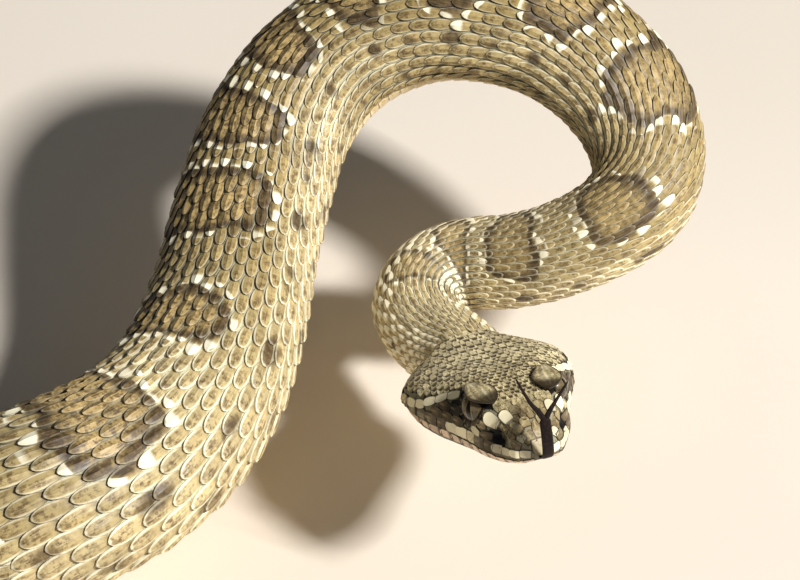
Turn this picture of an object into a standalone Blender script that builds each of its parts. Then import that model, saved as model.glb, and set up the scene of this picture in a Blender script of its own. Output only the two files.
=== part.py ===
"""A rattlesnake in its raised defensive coil, life size, as a still museum model.

The body is one long tapering tube.  Its route is walked from the rattle to the nape in named
stretches, each with a length, a turn, a height, a thickness and a lean.  Every node is a length
of that tube, so that the lengths meet face to face with a hair gap and never pass through each
other.  The head, jaw, eyes and tongue are placed on the end of the route.

Units are metres, +Z is up, the origin is at the middle of the bottom of the model's box, and the
snake looks towards -Y.
"""

import math

import bmesh
import bpy
import numpy as np
from mathutils import Vector

MM = 0.001
GAP = 0.30              # clear space between neighbouring solids, mm
STEP = 0.5              # spacing of the points along the walked route, mm
TURN_EASE = 3.0         # how far a change of bend is eased along the route, mm
SHAPE_EASE = 6.0        # the same for height, thickness and lean, mm
CENTRE_SHIFT = (81.5, 123.8)   # brings the middle of the model's box to the origin, mm

# The cross-section, as fractions of the radius of the stretch.
HALF_WIDTH = 1.03
BACK_HEIGHT = 1.00
BELLY_DEPTH = 0.92
BELLY_FLAT = 0.86       # the belly is cut level here, so it lies on the floor as a flat
SIDES = 18

# Where the raised part begins, measured before the shift to the model's own origin:
# x, y, heading in degrees from +X.
RAISED_START = (-69.0, -86.0, 20.0)

# The resting coil, from the tip of the tail outwards.  It lies on the floor.
# name, plan length, turn to the left in degrees, height at its end (0 = lying on its belly),
# radius at its end, lean of the back to the left in degrees at its end
COIL = [
    ("rattle", 20.0, -16.0, 38.0, 5.2, 0.0),
    ("tail_tip", 24.0, -62.0, 12.0, 6.3, 0.0),
    ("tail_root", 40.0, -100.0, 0.0, 9.6, 0.0),
    ("vent", 36.0, -78.0, 0.0, 12.4, 0.0),
    ("coil_inner", 54.0, -90.0, 0.0, 15.2, 0.0),
    ("coil_second", 69.0, -90.0, 0.0, 17.4, 0.0),
    ("coil_third", 85.0, -90.0, 0.0, 18.9, 0.0),
    ("coil_fourth", 102.0, -90.0, 0.0, 19.7, 0.0),
    ("coil_fifth", 120.0, -90.0, 0.0, 20.2, 0.0),
    ("coil_outer", 136.0, -94.0, 0.0, 20.2, 2.0),
    ("leaving", 44.0, 24.0, 22.0, 19.8, 6.0),
]

# The raised part, from the floor to the nape: the long S that holds the head ready.
RAISED = [
    ("lift", 24.0, 29.0, 23.8, 18.8, 14.0),
    ("lift_upper", 22.0, 22.0, 27.0, 17.2, 22.0),
    ("limb", 22.0, 11.0, 32.4, 15.4, 26.0),
    ("limb_upper", 22.0, -8.0, 41.0, 15.1, 26.0),
    ("shoulder", 16.0, -30.0, 52.0, 14.4, 24.0),
    ("crest", 14.0, -34.0, 61.0, 14.0, 14.0),
    ("arch", 16.0, -19.0, 67.5, 13.8, 5.0),
    ("arch_far", 18.0, -9.0, 67.5, 13.6, 5.0),
    ("brow", 20.0, -27.0, 60.7, 12.8, 10.0),
    ("outer", 14.0, -38.0, 52.3, 11.0, 16.0),
    ("turn_back", 14.0, -79.0, 45.0, 9.4, 22.0),
    ("near_limb", 24.5, -44.0, 32.5, 9.2, 24.0),
    ("neck_bend", 25.0, 145.8, 29.0, 8.6, -13.0),
    ("nape", 11.0, 8.7, 30.4, 8.4, -7.0),
    ("occiput", 6.9, -22.5, 32.8, 8.4, 0.5),
    ("skull", 40.0, -4.0, 46.7, 8.4, 2.4),
]

TIP_HEIGHT = 66.0       # height of the end of the rattle, which stands up in the coil
TIP_RADIUS = 3.8

# Which stretches make each node: the node's first and last stretch.
LENGTHS = [
    ("tail", "tail_tip", "tail_root"),
    ("trunk_01", "vent", "vent"),
    ("trunk_02", "coil_inner", "coil_inner"),
    ("trunk_03", "coil_second", "coil_second"),
    ("trunk_04", "coil_third", "coil_third"),
    ("trunk_05", "coil_fourth", "coil_fourth"),
    ("trunk_06", "coil_fifth", "coil_fifth"),
    ("trunk_07", "coil_outer", "coil_outer"),
    ("trunk_08", "leaving", "lift_upper"),
    ("trunk_09", "limb", "limb_upper"),
    ("trunk_10", "shoulder", "crest"),
    ("trunk_11", "arch", "brow"),
    ("trunk_12", "outer", "turn_back"),
    ("neck_base", "near_limb", "near_limb"),
    ("neck", "neck_bend", "occiput"),
]
RING_SPACING_COIL = 10.0    # spacing of the rings of the tube on the floor, mm
RING_SPACING_RAISED = 4.5   # and where it bends more sharply, mm

# The rattle: loose-jointed horny rings, each overlapping the next.
RATTLE_RINGS = 9
RATTLE_WAIST = 0.72         # the groove between two rings, as a fraction of the ring
RATTLE_FLAT = 0.62          # the rattle is deeper than it is wide

# The head, measured back from the tip of the snout, with the mouth line at height 0, mm.
HEAD_LENGTH = 46.0
# distance back, half width, height of the top, depth of the chin, height of the mouth line, and
# how square the upper half is in section (2 = round)
HEAD_FORM = [
    (0.0, 3.4, 4.6, 0.2, 1.0, 2.5),
    (1.2, 4.8, 6.2, -0.5, 0.8, 2.8),
    (3.5, 6.2, 7.8, -1.5, 0.5, 3.1),
    (7.0, 7.9, 9.0, -2.8, 0.1, 3.3),
    (11.0, 9.5, 10.2, -3.9, 0.0, 3.4),
    (15.0, 10.6, 10.6, -4.7, 0.1, 3.2),
    (20.0, 12.8, 10.2, -5.5, 0.5, 2.8),
    (26.0, 15.6, 9.6, -6.4, 0.9, 2.5),
    (31.0, 16.9, 8.8, -7.1, 1.0, 2.4),
    (36.0, 17.1, 8.1, -7.5, 1.0, 2.4),
    (40.0, 15.1, 7.8, -7.6, 0.9, 2.2),
    (43.5, 11.8, 7.9, -7.7, 0.6, 2.1),
    (46.0, 9.0, 8.1, -7.7, 0.4, 2.0),
]
HEAD_RINGS = 24
HEAD_ARC = 14               # points over the top of a ring of the head
JAW_INSET = 0.94            # the lower jaw tucks inside the lip
JAW_SQUARE = 2.2            # how square the lower jaw is in section

EYE_RADIUS = 2.9
EYE_AT = (14.8, 7.2, 7.4)   # back from the snout, out from the middle, up from the mouth line

# Stops back from the snout (so less than 0 is ahead of it), to its left and up.
TONGUE_STEM = [(-0.9, 0.75, 1.4), (-3.0, 0.65, 3.0), (-4.2, 0.5, 7.0), (-4.4, 0.5, 11.6)]
TONGUE_TINES = [
    [(-4.4, 0.5, 10.6), (-4.3, -0.7, 12.9), (-4.0, -2.0, 15.2), (-3.4, -3.9, 20.3)],
    [(-4.4, 0.5, 10.6), (-4.3, 1.6, 12.2), (-4.0, 3.2, 13.9), (-3.4, 6.2, 17.0)],
]
TONGUE_WIDTH = 1.25         # half width of the stem
TONGUE_THICK = 0.50         # half thickness of the stem
TINE_ROOT, TINE_TIP = 0.62, 0.34

# name: colour, roughness, metallic
FINISHES = {
    "scales": ((0.335, 0.262, 0.140, 1.0), 0.55, 0.0),
    "throat": ((0.640, 0.520, 0.340, 1.0), 0.55, 0.0),
    "eye": ((0.120, 0.092, 0.050, 1.0), 0.12, 0.0),
    "tongue": ((0.012, 0.009, 0.010, 1.0), 0.30, 0.0),
    "rattle": ((0.330, 0.250, 0.160, 1.0), 0.60, 0.0),
}


# ---------------------------------------------------------------- the route

def eased(values, reach):
    """The values smoothed along the route by a bell curve reaching about `reach` mm."""
    count = int(round(3.0 * reach / STEP))
    offsets = np.arange(-count, count + 1) * STEP
    weights = np.exp(-0.5 * (offsets / reach) ** 2)
    weights /= weights.sum()
    padded = np.pad(values, count, mode="edge")
    return np.convolve(padded, weights, mode="valid")


def walk():
    """The whole route: plan distance, points, radius, lean, and where each stretch ends."""
    stretches = COIL + RAISED
    ends = np.concatenate([[0.0], np.cumsum([s[1] for s in stretches])])
    along = np.arange(0.0, ends[-1] + STEP / 2, STEP)
    bend = np.zeros_like(along)
    for (_, length, turn, _, _, _), begin in zip(stretches, ends[:-1]):
        bend[along >= begin - 1e-9] = math.radians(turn) / length
    bend = eased(bend, TURN_EASE)
    heading = np.concatenate([[0.0], np.cumsum((bend[1:] + bend[:-1]) / 2 * STEP)])
    start = int(round(sum(s[1] for s in COIL) / STEP))
    heading += math.radians(RAISED_START[2]) - heading[start]
    step_x = (np.cos(heading[1:]) + np.cos(heading[:-1])) / 2 * STEP
    step_y = (np.sin(heading[1:]) + np.sin(heading[:-1])) / 2 * STEP
    x = np.concatenate([[0.0], np.cumsum(step_x)])
    y = np.concatenate([[0.0], np.cumsum(step_y)])
    x += RAISED_START[0] - x[start] + CENTRE_SHIFT[0]
    y += RAISED_START[1] - y[start] + CENTRE_SHIFT[1]
    radius = eased(np.interp(along, ends, [TIP_RADIUS] + [s[4] for s in stretches]), SHAPE_EASE)
    height = eased(np.interp(along, ends, [TIP_HEIGHT] + [s[3] for s in stretches]), SHAPE_EASE)
    height = np.maximum(height, BELLY_FLAT * radius)
    lean = eased(np.interp(along, ends, [0.0] + [s[5] for s in stretches]), SHAPE_EASE)
    marks = {s[0]: (a, b) for s, a, b in zip(stretches, ends[:-1], ends[1:])}
    return along, np.stack([x, y, height], axis=1), radius, np.radians(lean), marks


def frames(points, lean):
    """At each point the direction of travel, the snake's left, and the direction of its back."""
    forward = np.gradient(points, axis=0)
    forward /= np.linalg.norm(forward, axis=1)[:, None]
    left = np.cross([0.0, 0.0, 1.0], forward)
    left /= np.linalg.norm(left, axis=1)[:, None]
    up = np.cross(forward, left)
    cos, sin = np.cos(lean)[:, None], np.sin(lean)[:, None]
    return forward, left * cos - up * sin, up * cos + left * sin


ALONG, POINTS, RADIUS, LEAN, MARKS = walk()
FORWARD, LEFT, BACK = frames(POINTS, LEAN)


def at(distance, table):
    """A column of the route, read at any distance along it."""
    return np.array([np.interp(distance, ALONG, column) for column in np.atleast_2d(table.T)])


def body_ring(distance):
    """One cross-section of the body: round above, flattened along the belly."""
    centre, left, back = (at(distance, t) for t in (POINTS, LEFT, BACK))
    radius = float(at(distance, RADIUS)[0])
    ring = []
    for i in range(SIDES):
        angle = 2 * math.pi * i / SIDES
        rise = math.cos(angle)
        rise *= BACK_HEIGHT if rise > 0 else BELLY_DEPTH
        point = centre + left * (HALF_WIDTH * math.sin(angle) * radius)
        point = point + back * (max(rise, -BELLY_FLAT) * radius)
        point[2] = max(point[2], 0.0)
        ring.append(point)
    return ring


# ---------------------------------------------------------------- building solids

def material(name):
    """The finish of one kind of surface, as a Principled material."""
    colour, roughness, metallic = FINISHES[name]
    made = bpy.data.materials.new(name)
    made.use_nodes = True
    shader = made.node_tree.nodes["Principled BSDF"]
    shader.inputs["Base Color"].default_value = colour
    shader.inputs["Roughness"].default_value = roughness
    shader.inputs["Metallic"].default_value = metallic
    return made


def loft(name, rings, finish):
    """One closed solid through a row of rings of points given in mm, capped at both ends."""
    mesh = bpy.data.meshes.new(name)
    shape = bmesh.new()
    rows = [[shape.verts.new(Vector(p) * MM) for p in ring] for ring in rings]
    count = len(rows[0])
    for low, high in zip(rows[:-1], rows[1:]):
        for i in range(count):
            j = (i + 1) % count
            shape.faces.new((low[i], low[j], high[j], high[i]))
    shape.faces.new(list(reversed(rows[0])))
    shape.faces.new(rows[-1])
    bmesh.ops.recalc_face_normals(shape, faces=shape.faces)
    if shape.calc_volume(signed=True) < 0:
        bmesh.ops.reverse_faces(shape, faces=shape.faces)
    shape.to_mesh(mesh)
    shape.free()
    mesh.shade_smooth()
    mesh.set_sharp_from_angle(angle=math.radians(50))
    made = bpy.data.objects.new(name, mesh)
    bpy.context.scene.collection.objects.link(made)
    mesh.materials.append(material(finish))
    return made


def boolean(target, other, operation):
    """Join or cut a solid, leaving the tool out of the model."""
    step = target.modifiers.new(other.name, "BOOLEAN")
    step.operation = operation
    step.object = other
    step.solver = "EXACT"
    other.hide_render = True
    other.display_type = "WIRE"


def body_lengths():
    """The tail, the trunk and the neck, as lengths of the one tube."""
    for name, first, last in LENGTHS:
        begin, end = MARKS[first][0], MARKS[last][1]
        spacing = RING_SPACING_COIL if begin < MARKS["leaving"][0] else RING_SPACING_RAISED
        begin, end = begin + GAP / 2, end - GAP / 2
        count = max(3, int(math.ceil((end - begin) / spacing)) + 1)
        loft(name, [body_ring(d) for d in np.linspace(begin, end, count)], "scales")


def rattle():
    """The rattle: a stack of grooved horny rings, smaller towards the tip."""
    begin, end = MARKS["rattle"][0], MARKS["rattle"][1] - GAP / 2
    rings = []
    steps = RATTLE_RINGS * 3
    for i in range(steps + 1):
        share = i / steps
        distance = begin + (end - begin) * share
        centre, left, back = (at(distance, t) for t in (POINTS, LEFT, BACK))
        swell = 0.5 - 0.5 * math.cos(2 * math.pi * ((share * RATTLE_RINGS) % 1.0))
        size = float(at(distance, RADIUS)[0]) * (RATTLE_WAIST + (1 - RATTLE_WAIST) * swell)
        size *= 1.25 if 0 < i < steps else 0.9
        rings.append([
            centre + left * (math.sin(2 * math.pi * k / 14) * size * RATTLE_FLAT)
            + back * (math.cos(2 * math.pi * k / 14) * size)
            for k in range(14)
        ])
    loft("rattle", rings, "rattle")


# ---------------------------------------------------------------- the head

def head_frame():
    """The tip of the snout, and the head's forward, left and up directions."""
    joint = MARKS["occiput"][1]
    nape, forward, left, up = (at(joint, t) for t in (POINTS, FORWARD, LEFT, BACK))
    return nape + forward * (HEAD_LENGTH + GAP / 2), forward, left, up


SNOUT, AHEAD, HEAD_LEFT, HEAD_UP = head_frame()


def on_head(back, left, up):
    """A point of the head, in mm from the tip of the snout."""
    return SNOUT - AHEAD * back + HEAD_LEFT * left + HEAD_UP * up


def head_form(back):
    """Half width, top, chin, mouth line and squareness of the head, so far behind the snout."""
    table = np.array(HEAD_FORM)
    return [float(np.interp(back, table[:, 0], table[:, i])) for i in (1, 2, 3, 4, 5)]


def head_stations():
    """Distances back from the snout, closer together towards its tip."""
    return [HEAD_LENGTH * (i / (HEAD_RINGS - 1)) ** 1.35 for i in range(HEAD_RINGS)]


def half_ring(back, width, lip, edge, power):
    """Half of a section of the head: flat along the lip, arched to the edge height."""
    ring = []
    for i in range(HEAD_ARC + 1):
        angle = math.pi * i / HEAD_ARC
        cos, sin = math.cos(angle), math.sin(angle)
        out = width * math.copysign(abs(cos) ** (2 / power), cos)
        rise = (edge - lip) * sin ** (2 / power)
        ring.append(on_head(back, -out, lip + rise))
    return ring


def head():
    """The skull and upper lip, the lower jaw, and the two eyes in their sockets."""
    upper, lower = [], []
    for back in head_stations():
        width, top, chin, lip, square = head_form(back)
        upper.append(half_ring(back, width, lip + GAP / 2, top, square))
        lower.append(half_ring(back, width * JAW_INSET, lip - GAP / 2, chin, JAW_SQUARE))
    skull = loft("head", upper, "scales")
    loft("lower_jaw", lower, "throat")
    for side, name in ((1, "eye_left"), (-1, "eye_right")):
        back, out, up = EYE_AT
        centre = Vector(on_head(back, side * out, up)) * MM
        ball = round_body(name, centre, EYE_RADIUS * MM)
        ball.data.materials.append(material("eye"))
        socket = round_body(name + "_socket", centre, (EYE_RADIUS + GAP) * MM)
        boolean(skull, socket, "DIFFERENCE")


def round_body(name, centre, radius):
    """A ball, as an eye or as the tool that cuts its socket."""
    shape = bmesh.new()
    bmesh.ops.create_uvsphere(shape, u_segments=16, v_segments=10, radius=radius)
    mesh = bpy.data.meshes.new(name)
    shape.to_mesh(mesh)
    shape.free()
    mesh.shade_smooth()
    made = bpy.data.objects.new(name, mesh)
    made.location = centre
    bpy.context.scene.collection.objects.link(made)
    return made


def curve_through(stops, count):
    """Evenly spread points on a smooth curve through a few stops (Catmull-Rom)."""
    stops = np.array(stops, dtype=float)
    padded = np.vstack([2 * stops[0] - stops[1], stops, 2 * stops[-1] - stops[-2]])
    out = []
    for value in np.linspace(0, len(stops) - 1, count):
        i = min(int(value), len(stops) - 2)
        t = value - i
        a, b, c, d = padded[i:i + 4]
        out.append(0.5 * (2 * b + (c - a) * t + (2 * a - 5 * b + 4 * c - d) * t * t
                          + (3 * b - a - 3 * c + d) * t ** 3))
    return np.array(out)


def ribbon(name, stops, widths, thicks, count, sides=8):
    """A soft flat rod along a few stops on the head, for the tongue."""
    line = np.array([on_head(*p) for p in curve_through(stops, count)])
    run = np.gradient(line, axis=0)
    rings = []
    for i, (point, way) in enumerate(zip(line, run)):
        way = way / np.linalg.norm(way)
        across = HEAD_LEFT - way * float(np.dot(HEAD_LEFT, way))
        across /= np.linalg.norm(across)
        through = np.cross(way, across)
        share = i / (count - 1)
        width = widths[0] + (widths[1] - widths[0]) * share
        thick = thicks[0] + (thicks[1] - thicks[0]) * share
        rings.append([point + across * (width * math.cos(2 * math.pi * k / sides))
                      + through * (thick * math.sin(2 * math.pi * k / sides))
                      for k in range(sides)])
    return loft(name, rings, "tongue")


def tongue():
    """The forked tongue: one stem from the lips, joined to its two tines."""
    stem = ribbon("tongue", TONGUE_STEM, (TONGUE_WIDTH, TONGUE_WIDTH * 0.9),
                  (TONGUE_THICK, TONGUE_THICK), 9)
    for number, stops in enumerate(TONGUE_TINES):
        tine = ribbon("tine_%d" % number, stops, (TINE_ROOT, TINE_TIP),
                      (TONGUE_THICK * 0.9, TINE_TIP), 10)
        boolean(stem, tine, "UNION")


def clear_scene():
    for existing in list(bpy.data.objects):
        bpy.data.objects.remove(existing, do_unlink=True)


def main():
    clear_scene()
    body_lengths()
    rattle()
    head()
    tongue()


main()
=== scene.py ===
"""The looks of the rattlesnake: its skin, scales, belly plates, head, eyes, tongue and rattle.

Lengths are in millimetres until a mesh is made, which turns them into metres.  `s` is the distance
along the body in plan, from the tip of the rattle to the nape, and `round` is the angle round the
body from the middle of the back, positive on the snake's left.
"""

import math

import bpy
import numpy as np
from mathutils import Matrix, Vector
from mathutils.bvhtree import BVHTree


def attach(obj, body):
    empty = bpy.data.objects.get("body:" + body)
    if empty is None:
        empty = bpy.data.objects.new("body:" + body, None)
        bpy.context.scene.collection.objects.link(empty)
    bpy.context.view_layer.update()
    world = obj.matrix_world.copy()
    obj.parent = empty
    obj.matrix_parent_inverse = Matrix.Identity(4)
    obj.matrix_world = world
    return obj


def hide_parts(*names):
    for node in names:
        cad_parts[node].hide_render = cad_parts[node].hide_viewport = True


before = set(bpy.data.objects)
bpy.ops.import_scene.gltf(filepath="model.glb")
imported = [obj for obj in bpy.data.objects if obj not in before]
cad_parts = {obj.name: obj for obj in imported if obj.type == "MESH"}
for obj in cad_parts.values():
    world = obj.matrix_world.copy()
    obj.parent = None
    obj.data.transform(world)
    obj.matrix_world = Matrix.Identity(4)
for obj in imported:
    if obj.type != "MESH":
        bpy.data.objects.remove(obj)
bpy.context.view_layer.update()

MM = 0.001
SEED = 7

# ---------------------------------------------------------------- the route, as in the solids

STEP = 0.5                       # from point to point of the route, mm
TURN_EASE = 3.0                  # how softly the turns change, mm
SHAPE_EASE = 6.0                 # how softly height, radius and lean change, mm
CENTRE_SHIFT = (81.5, 123.8)     # moves the snake so that the middle of its box is the origin, mm
RAISED_START = (-69.0, -86.0, 20.0)   # where the raised part begins, mm, and its heading, degrees
HALF_WIDTH = 1.03                # the section of the body, as shares of its radius
BACK_HEIGHT = 1.00
BELLY_DEPTH = 0.92
BELLY_FLAT = 0.86

# name, plan length, turn to the left in degrees, height at its end (0 = lying on its belly),
# radius at its end, lean of the back to the left in degrees at its end
COIL = [
    ("rattle", 20.0, -16.0, 38.0, 5.2, 0.0),
    ("tail_tip", 24.0, -62.0, 12.0, 6.3, 0.0),
    ("tail_root", 40.0, -100.0, 0.0, 9.6, 0.0),
    ("vent", 36.0, -78.0, 0.0, 12.4, 0.0),
    ("coil_inner", 54.0, -90.0, 0.0, 15.2, 0.0),
    ("coil_second", 69.0, -90.0, 0.0, 17.4, 0.0),
    ("coil_third", 85.0, -90.0, 0.0, 18.9, 0.0),
    ("coil_fourth", 102.0, -90.0, 0.0, 19.7, 0.0),
    ("coil_fifth", 120.0, -90.0, 0.0, 20.2, 0.0),
    ("coil_outer", 136.0, -94.0, 0.0, 20.2, 2.0),
    ("leaving", 44.0, 24.0, 22.0, 19.8, 6.0),
]
# Most of this table, and RAISED_START, are the rounded output of other programs, by least-squares
# fits and interpolation. The lengths of the first eleven rows and most leans were set one by one.
RAISED = [
    ("lift", 24.0, 29.0, 23.8, 18.8, 14.0),
    ("lift_upper", 22.0, 22.0, 27.0, 17.2, 22.0),
    ("limb", 22.0, 11.0, 32.4, 15.4, 26.0),
    ("limb_upper", 22.0, -8.0, 41.0, 15.1, 26.0),
    ("shoulder", 16.0, -30.0, 52.0, 14.4, 24.0),
    ("crest", 14.0, -34.0, 61.0, 14.0, 14.0),
    ("arch", 16.0, -19.0, 67.5, 13.8, 5.0),
    ("arch_far", 18.0, -9.0, 67.5, 13.6, 5.0),
    ("brow", 20.0, -27.0, 60.7, 12.8, 10.0),
    ("outer", 14.0, -38.0, 52.3, 11.0, 16.0),
    ("turn_back", 14.0, -79.0, 45.0, 9.4, 22.0),
    ("near_limb", 24.5, -44.0, 32.5, 9.2, 24.0),
    ("neck_bend", 25.0, 145.8, 29.0, 8.6, -13.0),
    ("nape", 11.0, 8.7, 30.4, 8.4, -7.0),
    ("occiput", 6.9, -22.5, 32.8, 8.4, 0.5),
    ("skull", 40.0, -4.0, 46.7, 8.4, 2.4),
]
TIP_HEIGHT = 66.0                # of the rattle, mm
TIP_RADIUS = 3.8


def eased(values, reach):
    """The values smoothed along the route by a bell curve reaching about `reach` mm."""
    count = int(round(3.0 * reach / STEP))
    offsets = np.arange(-count, count + 1) * STEP
    weights = np.exp(-0.5 * (offsets / reach) ** 2)
    weights /= weights.sum()
    return np.convolve(np.pad(values, count, mode="edge"), weights, mode="valid")


def walk():
    """The whole route: plan distance, points, radius, lean, and where each stretch ends."""
    stretches = COIL + RAISED
    ends = np.concatenate([[0.0], np.cumsum([s[1] for s in stretches])])
    along = np.arange(0.0, ends[-1] + STEP / 2, STEP)
    bend = np.zeros_like(along)
    for (_, length, turn, _, _, _), begin in zip(stretches, ends[:-1]):
        bend[along >= begin - 1e-9] = math.radians(turn) / length
    bend = eased(bend, TURN_EASE)
    heading = np.concatenate([[0.0], np.cumsum((bend[1:] + bend[:-1]) / 2 * STEP)])
    start = int(round(sum(s[1] for s in COIL) / STEP))
    heading += math.radians(RAISED_START[2]) - heading[start]
    step_x = (np.cos(heading[1:]) + np.cos(heading[:-1])) / 2 * STEP
    step_y = (np.sin(heading[1:]) + np.sin(heading[:-1])) / 2 * STEP
    x = np.concatenate([[0.0], np.cumsum(step_x)])
    y = np.concatenate([[0.0], np.cumsum(step_y)])
    x += RAISED_START[0] - x[start] + CENTRE_SHIFT[0]
    y += RAISED_START[1] - y[start] + CENTRE_SHIFT[1]
    radius = eased(np.interp(along, ends, [TIP_RADIUS] + [s[4] for s in stretches]), SHAPE_EASE)
    height = eased(np.interp(along, ends, [TIP_HEIGHT] + [s[3] for s in stretches]), SHAPE_EASE)
    height = np.maximum(height, BELLY_FLAT * radius)
    lean = eased(np.interp(along, ends, [0.0] + [s[5] for s in stretches]), SHAPE_EASE)
    marks = {s[0]: (a, b) for s, a, b in zip(stretches, ends[:-1], ends[1:])}
    return along, np.stack([x, y, height], axis=1), radius, np.radians(lean), marks


def frames(points, lean):
    """At each point the direction of travel, the snake's left, and the direction of its back."""
    forward = np.gradient(points, axis=0)
    forward /= np.linalg.norm(forward, axis=1)[:, None]
    left = np.cross([0.0, 0.0, 1.0], forward)
    left /= np.linalg.norm(left, axis=1)[:, None]
    up = np.cross(forward, left)
    cos, sin = np.cos(lean)[:, None], np.sin(lean)[:, None]
    return forward, left * cos - up * sin, up * cos + left * sin


ALONG, POINTS, RADIUS, LEAN, MARKS = walk()
FORWARD, LEFT, BACK = frames(POINTS, LEAN)
RAISED_FROM = MARKS["lift"][0]
NAPE = MARKS["occiput"][1]
TAIL_FROM = MARKS["tail_tip"][0]
VENT = MARKS["vent"][0]


def read(table, s):
    """A column or columns of the route, read at any distances along it."""
    if table.ndim == 1:
        return np.interp(s, ALONG, table)
    return np.stack([np.interp(s, ALONG, column) for column in table.T], axis=-1)


def smooth(low, high, value):
    """0 below low, 1 above high, and an even S between them."""
    t = np.clip((value - low) / (high - low), 0.0, 1.0)
    return t * t * (3.0 - 2.0 * t)


def unit(vectors):
    """The vectors made 1 long."""
    return vectors / np.maximum(np.linalg.norm(vectors, axis=-1, keepdims=True), 1e-12)

def distances(line):
    """How far along a line of points each of them is."""
    return np.concatenate([[0.0], np.cumsum(np.linalg.norm(np.diff(line, axis=0), axis=1))])

def along_line(line, run, stops):
    """The places at some distances along a line whose own points are at the distances `run`."""
    return np.stack([np.interp(stops, run, line[:, i]) for i in range(3)], -1)


# ---------------------------------------------------------------- the rows of scales

FILES = 25                       # rows of scales along the trunk
SIDE_ANGLE = math.radians(130)   # the belly plates begin here, round from the middle of the back
LOW_ROWS = 1.50                  # the lowest rows are this much wider than those of the back
# Rows that end towards the tail: distance from the tail's end of the route, rows counted from
# the middle of the back on both sides.
ROW_ENDS = [(MARKS["coil_inner"][1], (8, 9)), (VENT + 8.0, (4, 5)), (MARKS["tail_tip"][1], (2, 3))]
ROW_FADE = 14.0                  # a row thins out over this length, mm


def row_widths(s):
    """The share of the back that each row of scales takes, at distances s: one column a row."""
    middle = FILES // 2
    away = np.abs(np.arange(FILES) - middle)
    widths = np.ones((len(s), FILES)) * (1.0 + (LOW_ROWS - 1.0) * smooth(5.0, 12.0, away))
    for end, rows in ROW_ENDS:
        fade = smooth(end - ROW_FADE / 2, end + ROW_FADE / 2, s)
        for row in rows:
            widths[:, away == row] *= fade[:, None]
    return widths


ROW_SHARES = row_widths(ALONG)
ROW_TOTAL = ROW_SHARES.sum(axis=1)
ROW_EDGES = np.cumsum(ROW_SHARES, axis=1)
ROW_ROUND = SIDE_ANGLE * (2 * (ROW_EDGES - ROW_SHARES / 2) / ROW_TOTAL[:, None] - 1)
ROW_WIDTH = 2 * SIDE_ANGLE * ROW_SHARES / ROW_TOTAL[:, None] * RADIUS[:, None]
WIDTH_MEAN = 2 * SIDE_ANGLE * RADIUS / ROW_TOTAL          # mean width of a row, mm
PITCH = 0.9 + 1.45 * WIDTH_MEAN                           # from scale to scale along a row, mm
COAT = 0.25 * WIDTH_MEAN                                  # depth of the scales over the skin, mm
ARC_STEP = np.linalg.norm(np.gradient(POINTS, axis=0), axis=1)
PHASE = np.cumsum(ARC_STEP / PITCH)                       # counts the scales along a row
PHASE -= PHASE[0]


def section(s, angle, depth):
    """Points of the body's surface at a depth under its outline, and their outward direction."""
    radius, left, back = read(RADIUS, s), read(LEFT, s), read(BACK, s)
    sin, cos = np.sin(angle), np.cos(angle)
    rise = np.maximum(cos * np.where(cos > 0, BACK_HEIGHT, BELLY_DEPTH), -BELLY_FLAT)
    flat = smooth(-0.80, -0.93, cos * BELLY_DEPTH)[..., None]
    outward = unit(left * (sin / HALF_WIDTH)[..., None] + back * cos[..., None])
    outward = unit(outward * (1 - flat) - back * flat)
    point = read(POINTS, s) + left * (HALF_WIDTH * sin * radius)[..., None]
    point = point + back * (rise * radius)[..., None] - outward * np.asarray(depth)[..., None]
    point[..., 2] = np.maximum(point[..., 2], depth)
    return point, outward


def stretch(s, angle):
    """How far the surface runs for each mm of s, which grows on the outside of a bend."""
    ahead, _ = section(s + 1.0, angle, np.zeros_like(s))
    behind, _ = section(s - 1.0, angle, np.zeros_like(s))
    return np.linalg.norm(ahead - behind, axis=-1) / 2


# ---------------------------------------------------------------- the markings

# Middles of the dark blotches on the back, from the start of the raised part towards the head.
RAISED_BLOTCHES = [14, 47, 77, 95, 109, 123, 140, 158, 178, 200, 218, 232, 243]
COIL_BLOTCH_GAP = 33.0           # from blotch to blotch in the coil, mm, less towards the tail
BLOTCH_HALF_ROUND = math.radians(53)   # from the middle of the back to a blotch's edge


def blotch_middles():
    """Every blotch from the tail to the neck, with the distance to its neighbours."""
    found = []
    s = RAISED_FROM + RAISED_BLOTCHES[0] - COIL_BLOTCH_GAP
    while s > TAIL_FROM + 4.0:
        found.append(s)
        s -= COIL_BLOTCH_GAP * (0.36 + 0.64 * float(smooth(40.0, 330.0, s)))
    found = found[::-1] + [RAISED_FROM + b for b in RAISED_BLOTCHES]
    return np.array(found)


BLOTCHES = blotch_middles()
BLOTCH_GAPS = np.gradient(BLOTCHES)


def ripple(a, b, number):
    """A soft irregular value about -1 to 1 that depends on two coordinates."""
    turn = 1.7 * number
    return (np.sin(a * 1.00 + 2.1 * np.sin(b * 0.83 + turn) + turn)
            + np.sin(b * 1.37 + 1.6 * np.sin(a * 0.71 - turn) + 2 * turn)) / 2


def near(s, middle, reach):
    """1 at a place of the raised part, fading to 0 over about `reach` mm on both sides of it."""
    return np.exp(-((s - RAISED_FROM - middle) / reach) ** 2)

def side_and_painted_light_share(s, angle):
    """How much a place has the pale ground of the sides, with painted light on the neck, paler at the first
    bend, and painted shade on the arch.
    """
    side = smooth(math.radians(42), math.radians(88), np.abs(angle))
    # painted light: the neck is made as pale as a sunlit side
    side = np.maximum(side, 0.85 * smooth(182.0, 240.0, s - RAISED_FROM))
    side = np.maximum(side, 0.75 * near(s, 25.0, 30.0))
    # painted shade: the arch is kept darker, nearer the olive of the back
    side = side * (1 - 0.60 * near(s, 138.0, 24.0))
    return side * smooth(0.45, 1.0, stretch(s, angle))

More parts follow.
